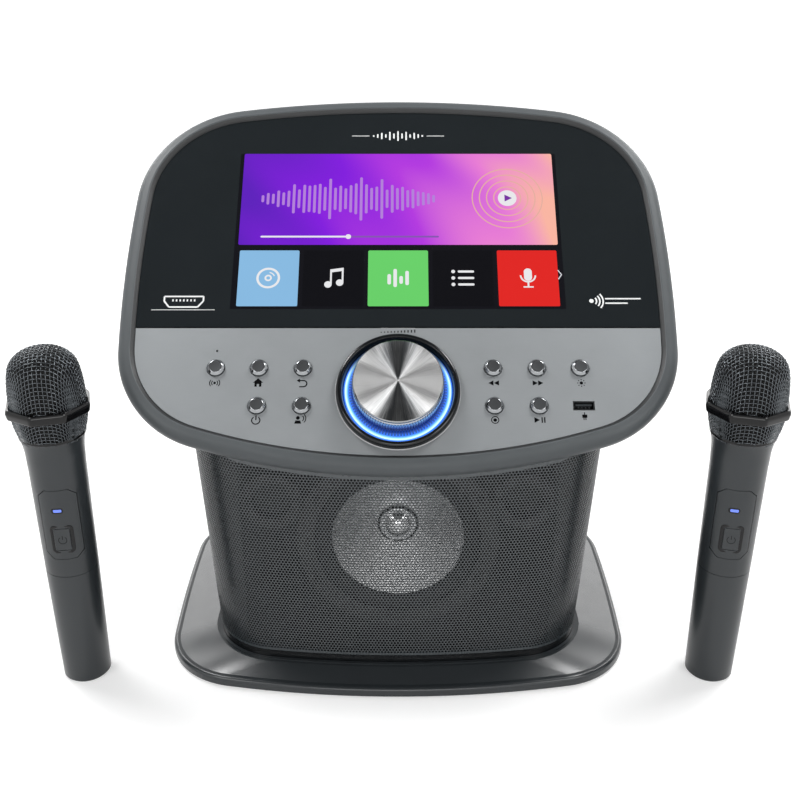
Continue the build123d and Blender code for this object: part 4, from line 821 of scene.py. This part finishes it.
# Plain marks on the glass: a sound wave at the top, a socket at the left and radio waves at the right.
wave = []
for i, height in enumerate((1.6, 3.4, 5.6, 3.0, 7.4, 4.6, 8.8, 4.6, 7.4, 3.0, 5.6, 3.4, 1.6)):
    wave += pill((i - 6) * 2.9, 0, 1.1, height, 0.54, 4)
wave += box(-33, -0.25, -20.5, 0.25) + box(20.5, -0.25, 33, 0.25)
printed("mark_wave", wave, 0, 80.4, GLASS_PRINT)
socket = []
ring = ((-13, 4), (13, 4), (13, 0.5), (9.5, -4), (-9.5, -4), (-13, 0.5))
for start, end in zip(ring, ring[1:] + ring[:1]):
    socket += stroke(start, end, 1.1)
for i in range(7):
    socket += box(-7.7 + 2.4 * i, 0.2, -6.7 + 2.4 * i, 1.8)
printed("mark_socket", socket + box(-21, -6.3, 21, -5.9), -142.3, -55.2, GLASS_PRINT)
radio = disc(-15, 0, 1.5, 20)
for reach in (3.4, 5.6, 7.8):
    radio += band(-15, 0, reach - 0.5, reach + 0.5, -42, 42, 14)
radio += pill(6, 1.7, 24, 1.0, 0.49, 4) + pill(1.5, -1.7, 15, 1.0, 0.49, 4)
printed("mark_radio", radio, 143.5, -54.6, GLASS_PRINT)


def open_box(low, high):
    """The inside of a box that is open towards local Z."""
    (x0, y0, z0), (x1, y1, z1) = low, high
    corners = [(x, y, z) for z in (z0, z1) for x, y in ((x0, y0), (x1, y0), (x1, y1), (x0, y1))]
    return corners, [(0, 1, 2, 3)] + [(4 + i, 4 + (i + 1) % 4, (i + 1) % 4, i) for i in range(4)]


usb_place = panel_frame(USB_X, KEY_LOWER)
# A near-black lining over the socket's steel walls: painted shade inside the opening.
make_piece("usb_shade_lining", open_box((-6.05, -2.35, -6.3), (6.05, 2.35, -0.45)), "machine", INSIDE, usb_place)
tongue = [(x, y, z) for x in (-5.15, 5.15) for z in (-1.15, -6.3) for y in (0.15, 1.85)]
sides = [(0, 4, 5, 1), (0, 2, 6, 4), (1, 5, 7, 3), (0, 1, 3, 2), (4, 6, 7, 5)]
make_piece("usb_tongue", (tongue, sides), "machine", MIC_BODY, usb_place)
for i in range(4):
    draw(f"usb_contact_{i + 1}", pill(-3.45 + 2.3 * i, -0.95, 0.95, 0.95, 0.46, 4),
         panel_frame(USB_X, KEY_LOWER, -2.2), CHROME, thickness=1.0)

# ---- knob
knob_place = panel_frame(0, KNOB_CENTRE)
side_profile = [(3.1, 3.8), (6.0, 3.8), (6.0, 6.0), (23.0, 8.0), (23.0, 1.8), (28.2, 1.8)]
flutes = range(len(side_profile), len(side_profile) + 4)
side_profile += [(28.9, 2.3), (29.0, 3.0), (29.0, 12.0), (28.9, 12.8)]
side_profile += [(28.7, 13.3), (28.2, 14.1), (27.0, 14.2), (27.0, 15.3), (0, 15.3)]
form = lathe(side_profile, 600, KNOB_RIBS, 0.55, flutes)
make_piece("knob_grip", form, "volume_knob", KNOB_SIDE, knob_place, replaces="volume_knob")
cap_profile = [(0, 15.2), (27.9, 15.2)] + rounded((28.5, 15.3), (27.9, 15.2), (28.5, 16.2), 0.15, 3)
cap_profile += rounded((28.5, 16.3), (28.5, 15.4), (27.9, 17.0), 0.2, 3)
edge_end = len(cap_profile)
cap_profile += [(27.8, 16.98), (27.4, 17.0), (20.0, 17.0), (10.0, 17.0), (2.0, 17.0), (0, 17.0)]
make_piece("knob_disc", lathe(cap_profile, 160), "volume_knob", [CHROME, brushed_disc_with_painted_fans()], knob_place,
           two_tone(cap_profile, edge_end, 160), replaces="knob_cap")
glow_profile = [(20.0, 0.0), (34.7, 0.0), (34.7, 0.9), (32.2, 1.0), (31.7, 1.3), (31.4, 2.0), (30.0, 2.3),
                (29.7, 1.9), (29.5, 1.0), (20.0, 1.0), (20.0, 0.0)]
form = lathe(glow_profile, 600, KNOB_RIBS, 0.35, range(4, 7))
make_piece("knob_glow", form, "machine", glowing_ring(), knob_place, replaces="light_ring")
ring_profile = [(35.0, 0.0), (35.0, 1.0), (35.6, 3.2)] + rounded((36.4, 5.2), (35.6, 3.2), (37.4, 5.5), 0.7)
ring_profile += rounded((38.9, 5.2), (37.0, 5.5), (39.7, 3.2), 1.3, 6)
ring_profile += [(39.7, 2.6), (39.7, 0.0), (35.0, 0.0)]
make_piece("knob_surround", lathe(ring_profile, 160), "machine", GLOSS, knob_place, replaces="knob_ring")
edge_profile = [(39.6, 0.02), (40.15, 0.02), (40.15, 0.25), (39.95, 0.4), (39.6, 0.4), (39.6, 0.02)]
make_piece("knob_surround_edge", lathe(edge_profile, 160), "machine", STEEL, knob_place)

# ---- microphones
WIRE_PITCH = 2.5
WIRE_RADIUS = 0.36
WIRE_SIDES = 6
WEAVE = 0.26
WEAVE_REST = 0.04
LINING_WIDTH, LINING_HEIGHT, LINING_FOOT = 0.93, 0.97, 182
GRIP_FOOT, GRIP_RUN = 86.0, 73.0
GRIP_RADIUS, GRIP_GAIN = 16.8, 0.8
KEY_Z, KEY_FRONT = 113.6, -17.11
LAMP_Z = 134.9


def head_curve():
    """Meridian of the woven head from its top to its foot, as evenly spaced (radius, height, way) points."""
    corners = [(0, 236.9), (8.0, 236.2), (14.5, 233.2), (18.9, 228.6), (21.0, 222.5), (22.3, 212.0),
               (22.6, 200.0), (22.4, 194.0), (21.4, 188.0), (19.9, 182.4), (19.3, 179.0)]
    curve, way = [], 0.0
    for i in range(len(corners) - 1):
        a, b, c, d = (Vector(corners[max(0, min(len(corners) - 1, k))]) for k in (i - 1, i, i + 1, i + 2))
        if i == 0:
            a = Vector((-c.x, c.y))
        for t in (step / 12 for step in range(12)):
            point = 0.5 * (2 * b + (c - a) * t + (2 * a - 5 * b + 4 * c - d) * t * t
                           + (3 * b - a - 3 * c + d) * t**3)
            if curve:
                way += (point - Vector(curve[-1][:2])).length
            curve.append((max(point.x, 0.0), point.y, way))
    return curve


HEAD_CURVE = head_curve()
HEAD_WAYS = [way for _, _, way in HEAD_CURVE]


def on_head(way, turn):
    """Point and outward normal of the woven head's skin."""
    way = max(0.0, min(way, HEAD_WAYS[-1] - 1e-6))
    beyond = bisect_right(HEAD_WAYS, way)
    (r0, z0, s0), (r1, z1, s1) = HEAD_CURVE[beyond - 1], HEAD_CURVE[beyond]
    t = (way - s0) / (s1 - s0)
    radius, height = r0 + (r1 - r0) * t, z0 + (z1 - z0) * t
    out, up = (z0 - z1) / (s1 - s0), (r1 - r0) / (s1 - s0)
    c, s = cos(turn), sin(turn)
    return Vector((radius * c, radius * s, height)), Vector((out * c, out * s, up))


def drape(first, second, guess):
    """The place on the skin that lies one wire pitch from two crossings, found by Newton's method."""
    way, turn = guess
    step = 1e-4
    for _ in range(14):
        gaps, by_way, by_turn = (
            [(on_head(*place)[0] - other).length - WIRE_PITCH for other in (first, second)]
            for place in ((way, turn), (way + step, turn), (way, turn + step)))
        if max(map(abs, gaps)) < 1e-5:
            return way, turn
        (a, c), (b, d) = ([(there - here) / step for there, here in zip(stepped, gaps)]
                          for stepped in (by_way, by_turn))
        det = a * d - b * c
        if abs(det) < 1e-9:
            return None
        way -= max(-1.5, min(1.5, (d * gaps[0] - b * gaps[1]) / det))
        turn -= max(-0.2, min(0.2, (a * gaps[1] - c * gaps[0]) / det))
    return None


def woven_quarter():
    """Crossings of a square weave pulled over the head without stretching its wires, for one quarter."""
    places = {(0, 0): (0.0, 0.0)}
    count = int(HEAD_WAYS[-1] / WIRE_PITCH)
    for i in range(1, count + 1):
        places[i, 0] = (i * WIRE_PITCH, 0.0)
        places[0, i] = (i * WIRE_PITCH, pi / 2)
    for total in range(2, 2 * count + 1):
        for i in range(1, total):
            j = total - i
            around = [places.get(key) for key in ((i - 1, j), (i, j - 1), (i - 1, j - 1))]
            if None in around:
                continue
            left, below, inner = around
            middle = (left[0] + below[0]) / 2
            guess = (max(2 * middle - inner[0], middle + 0.3), (left[1] + below[1]) / 2)
            if total == 2:
                guess = (1.4 * WIRE_PITCH, pi / 4)
            place = drape(on_head(*left)[0], on_head(*below)[0], guess)
            if place and inner[0] < place[0] < HEAD_WAYS[-1] - 0.05 and 0 < place[1] < pi / 2:
                places[i, j] = place
    return places


def wire(path):
    """Points and faces of a wire along (point, normal) places; the normals keep its section from twisting."""
    rows = []
    for i, (point, normal) in enumerate(path):
        ahead = path[min(i + 1, len(path) - 1)][0] - path[max(i - 1, 0)][0]
        aside = ahead.cross(normal).normalized()
        lift = aside.cross(ahead).normalized()
        angles = [2 * pi * k / WIRE_SIDES for k in range(WIRE_SIDES)]
        rows.append([tuple(point + WIRE_RADIUS * (cos(angle) * aside + sin(angle) * lift))
                     for angle in angles])
    return loft(rows)


def woven_head():
    """The whole woven head: every wire goes over and under its neighbours."""
    crossings = {}
    for (i, j), (way, turn) in woven_quarter().items():
        for k in range(4):
            crossings[i, j] = on_head(way, turn + k * pi / 2)
            i, j = -j, i
    vertices, faces = [], []
    reach = max(i for i, _ in crossings)
    for across in (True, False):
        for row in range(-reach, reach + 1):
            path = []
            for column in range(-reach - 1, reach + 2):
                key = (column, row) if across else (row, column)
                if key in crossings:
                    point, normal = crossings[key]
                    if path:
                        path.append(((before[0] + point) / 2 + (before[1] + normal) * WEAVE_REST,
                                     (before[1] + normal).normalized()))
                    over = 1 if sum(key) % 2 == across else -1
                    path.append((point + normal * WEAVE * over, normal))
                    before = point, normal
                    continue
                if len(path) > 1:
                    more, quads = wire(path)
                    faces += [tuple(len(vertices) + v for v in quad) for quad in quads]
                    vertices += more
                path = []
    return vertices, faces


def grip_radius(z):
    """Radius of the grip's skin between the joint line and the band under the collar."""
    return GRIP_RADIUS + GRIP_GAIN * (z - GRIP_FOOT) / GRIP_RUN


def on_grip(across, z, lift=0.0):
    """A point on the grip's skin, or off it by lift."""
    radius = grip_radius(z)
    angle = across / radius
    return ((radius + lift) * sin(angle), -(radius + lift) * cos(angle), z)


def grip_pad(width, height, corner, x, z, lift):
    """A small raised pad with round corners that follows the grip's skin."""
    vertices, faces, count = [], [], 17
    for i in range(count):
        u = -width / 2 + width * i / (count - 1)
        beyond = max(abs(u) - (width / 2 - corner), 0.0)
        half = height / 2 - corner + sqrt(max(corner**2 - beyond**2, 0.0))
        for level, rise in ((-half, -0.2), (-half, lift), (half, lift), (half, -0.2)):
            vertices.append(on_grip(x + u, z + level, rise))
    for i in range(count - 1):
        a, b = 4 * i, 4 * i + 4
        faces += [(a + k, b + k, b + k + 1, a + k + 1) for k in range(3)]
    last = 4 * (count - 1)
    faces += [(3, 2, 1, 0), (last, last + 1, last + 2, last + 3)]
    return vertices, faces


def grip_band(outline, section):
    """A band of (offset, lift) section that runs round an outline on the grip's skin."""
    rows = []
    for offset, lift in section:
        row = []
        for i, (u, z) in enumerate(outline):
            ahead = Vector(outline[(i + 1) % len(outline)]) - Vector(outline[i - 1])
            outward = Vector((ahead.y, -ahead.x)).normalized()
            row.append(on_grip(u + offset * outward.x, z + offset * outward.y, lift))
        rows.append(row)
    return loft(rows)


def eight_sided(reach, roundness, z, turn):
    """A level row of an octagon with softened corners; reach is to the middle of a side."""
    row, corner = [], reach / cos(pi / 8)
    for side in range(8):
        middle = pi / 4 * side + pi / 8 + turn
        tip = Vector((corner * cos(middle), corner * sin(middle)))
        enter, leave = (tip + Vector((cos(middle + way), sin(middle + way))) * roundness
                        for way in (-5 * pi / 8, 5 * pi / 8))
        row += [(x, y, z) for x, y in bend(enter, tip, leave, 6)]
    return row


def collar(turn):
    """The cup-shaped ring round the woven head: eight-sided outside, round inside."""
    rows = [eight_sided(reach, 1.8, z, turn) for reach, z in (
        (23.65, 196.75), (23.9, 196.85), (24.1, 197.15), (24.3, 197.9), (24.5, 198.9), (24.68, 199.9),
        (24.76, 200.6), (24.72, 201.2), (24.5, 202.0), (24.15, 202.7), (23.95, 203.05), (23.8, 203.2))]
    angles = [atan2(y, x) for x, y, _ in rows[0]]
    for radius, z in ((23.6, 203.0), (23.4, 202.4), (23.35, 198.0), (23.45, 196.85)):
        rows.append([(radius * cos(angle), radius * sin(angle), z) for angle in angles])
    return loft(rows + rows[:1])


weave = woven_head()
lining = [(radius * LINING_WIDTH, LINING_FOOT + (height - LINING_FOOT) * LINING_HEIGHT)
          for radius, height, _ in HEAD_CURVE[::5]]
lining = lathe([(0, lining[0][1])] + lining[1:], 64)
foot_rim = lathe([(20.25, 181.0), (20.45, 181.3), (20.45, 182.9), (20.2, 183.2), (19.4, 183.2),
                  (19.4, 181.0), (20.25, 181.0)])
key_frame = grip_band(pill(0, 114.0, 13.0, 18.4, 2.2, 6)[0],
                      [(0.9, -0.05), (0.75, 0.30), (0.45, 0.42), (0.1, 0.40), (-0.9, 0.05), (-1.3, -0.05)])
key_sign = band(0, 0, 2.3, 2.75, 125, 415, 24) + box(-0.22, 0.4, 0.22, 3.2)
for hand in MIC_TURNS:
    place, body = mic_frame(hand), f"{hand}_microphone"
    turn = radians(RING_TURNS[hand] - MIC_TURNS[hand])
    for part, form, finish, slot, smooth_below, replaces in (
            ("weave", weave, MIC_WIRE, "mic_mesh", 80, f"mic_{hand}_mesh"),
            ("lining", lining, MIC_FOAM, "hidden_plastic", 30, None),
            ("foot_rim", foot_rim, MIC_RING, "mic_ring", 30, None),
            ("collar", collar(turn), MIC_RING, "mic_ring", 24, f"mic_{hand}_ring"),
            # The lamp's near-black pad stands for its recess: painted shade round the lamp.
            ("lamp_recess_shade", grip_pad(7.6, 3.8, 1.85, -0.8, LAMP_Z, 0.06), MIC_FRAME, "mic_plate", 30, None),
            ("lamp", grip_pad(5.0, 1.9, 0.4, -0.6, LAMP_Z, 0.14), LED_LIT, "light", 30, None),
            ("key_frame", key_frame, MIC_FRAME, "mic_plate", 30, None)):
        make_piece(f"{body}_{part}", form, body, finish, place, None, smooth_below, replaces)
    front = place @ Matrix.Translation(Vector((0, KEY_FRONT, KEY_Z)) * MM) @ Matrix.Rotation(pi / 2, 4, "X")
    draw(f"{body}_key_sign", key_sign, front, INSIDE, f"{body}_key", 0.03)

# ---- stage
# A pale floor that curves up into a round wall, in metres. Eyes, mirrors and glass see it white;
# near the machine it is mostly lit paper, so that it keeps the machine's shadow.
FLOOR_REACH, FLOOR_CURVE = 3.4, 1.2
stage_profile = [(0, 0), (0.5, 0), (1.0, 0), (1.6, 0), (2.4, 0), (FLOOR_REACH, 0)]
stage_profile += [(FLOOR_REACH + FLOOR_CURVE * sin(angle), FLOOR_CURVE - FLOOR_CURVE * cos(angle))
                  for angle in (pi / 16 * i for i in range(1, 9))]
stage_profile += [(FLOOR_REACH + FLOOR_CURVE, height) for height in (2.2, 3.0)]
stage = put("stage", make_mesh("stage", lathe(stage_profile), 1.0))
paper = Finish("stage_paper", (0.66, 0.66, 0.66), 0.9, Specular_IOR_Level=0.0, Emission_Color=(1, 1, 1, 1))
paper.tint(paper.noise(400.0, 2.0), 0.01)
ray = paper.add("LightPath").outputs
seen = paper.math("MAXIMUM", ray["Is Camera Ray"], ray["Is Glossy Ray"])
seen = paper.math("MAXIMUM", seen, ray["Is Transmission Ray"])
glow = paper.spread(paper.away(), 0.46, 1.0, 0.45, 2.0)
paper.link("Emission Strength", paper.times(seen, glow))
stage.data.materials.append(paper.material)

# The studio's own light is even below, and dims overhead so that metal and glass have something to show.
world = bpy.data.worlds.new("studio")
scene.world = world
world.use_nodes = True
background = world.node_tree.nodes["Background"]
background.inputs["Color"].default_value = (1, 1, 1, 1)
sky = add_node(world.node_tree, "TexCoord").outputs["Generated"]
height = add_node(world.node_tree, "SeparateXYZ", {0: sky}).outputs["Z"]
dusk = add_node(world.node_tree, "MapRange", {
    "Value": height, "From Min": 0.45, "From Max": 0.90, "To Min": 0.50, "To Max": 0.12})
world.node_tree.links.new(dusk.outputs[0], background.inputs["Strength"])


def lamp(name, place, aim, width, height, watts):
    """A soft rectangular lamp. Places and sizes are in metres."""
    data = bpy.data.lights.new(name, "AREA")
    data.shape = "RECTANGLE"
    data.size, data.size_y, data.energy = width, height, watts
    light = put(name, data)
    light.location = place
    light.rotation_euler = (Vector(aim) - Vector(place)).to_track_quat("-Z", "Y").to_euler()


for name, side in (("left", -1), ("right", 1)):
    lamp(f"{name}_front_box", (0.85 * side, -0.95, 0.95), (0, -0.1, 0.12), 0.55, 0.50, 5)
    lamp(f"{name}_high_box", (0.62 * side, 0.20, 1.25), (0, -0.05, 0.2), 0.30, 0.30, 7.5)
    lamp(f"{name}_rear_box", (0.75 * side, 1.05, 0.60), (0, 0, 0.1), 0.6, 0.5, 3)
    lamp(f"{name}_crown_box", (0.92 * side, 0.72, 1.10), (0, 0.05, 0.3), 0.4, 0.4, 4.5)
lamp("low_front_box", (0, -1.25, 0.42), (0, -0.1, 0.12), 0.7, 0.3, 2.5)

# The camera's place in metres, its pitch in degrees, and its lens, as fitted to the photograph.
CAMERA_PLACE = (0, -0.66485, 0.459)
CAMERA_PITCH = 66.0
CAMERA_LENS = 46.35
CAMERA_SHIFT = 0.0025
camera = put("camera", bpy.data.cameras.new("camera"))
camera.data.sensor_width = 36.0
camera.data.lens = CAMERA_LENS
camera.data.shift_x = CAMERA_SHIFT
camera.data.clip_start = 0.05
camera.location = CAMERA_PLACE
camera.rotation_euler = (radians(CAMERA_PITCH), 0, 0)
scene.camera = camera
scene.view_settings.view_transform = "Standard"
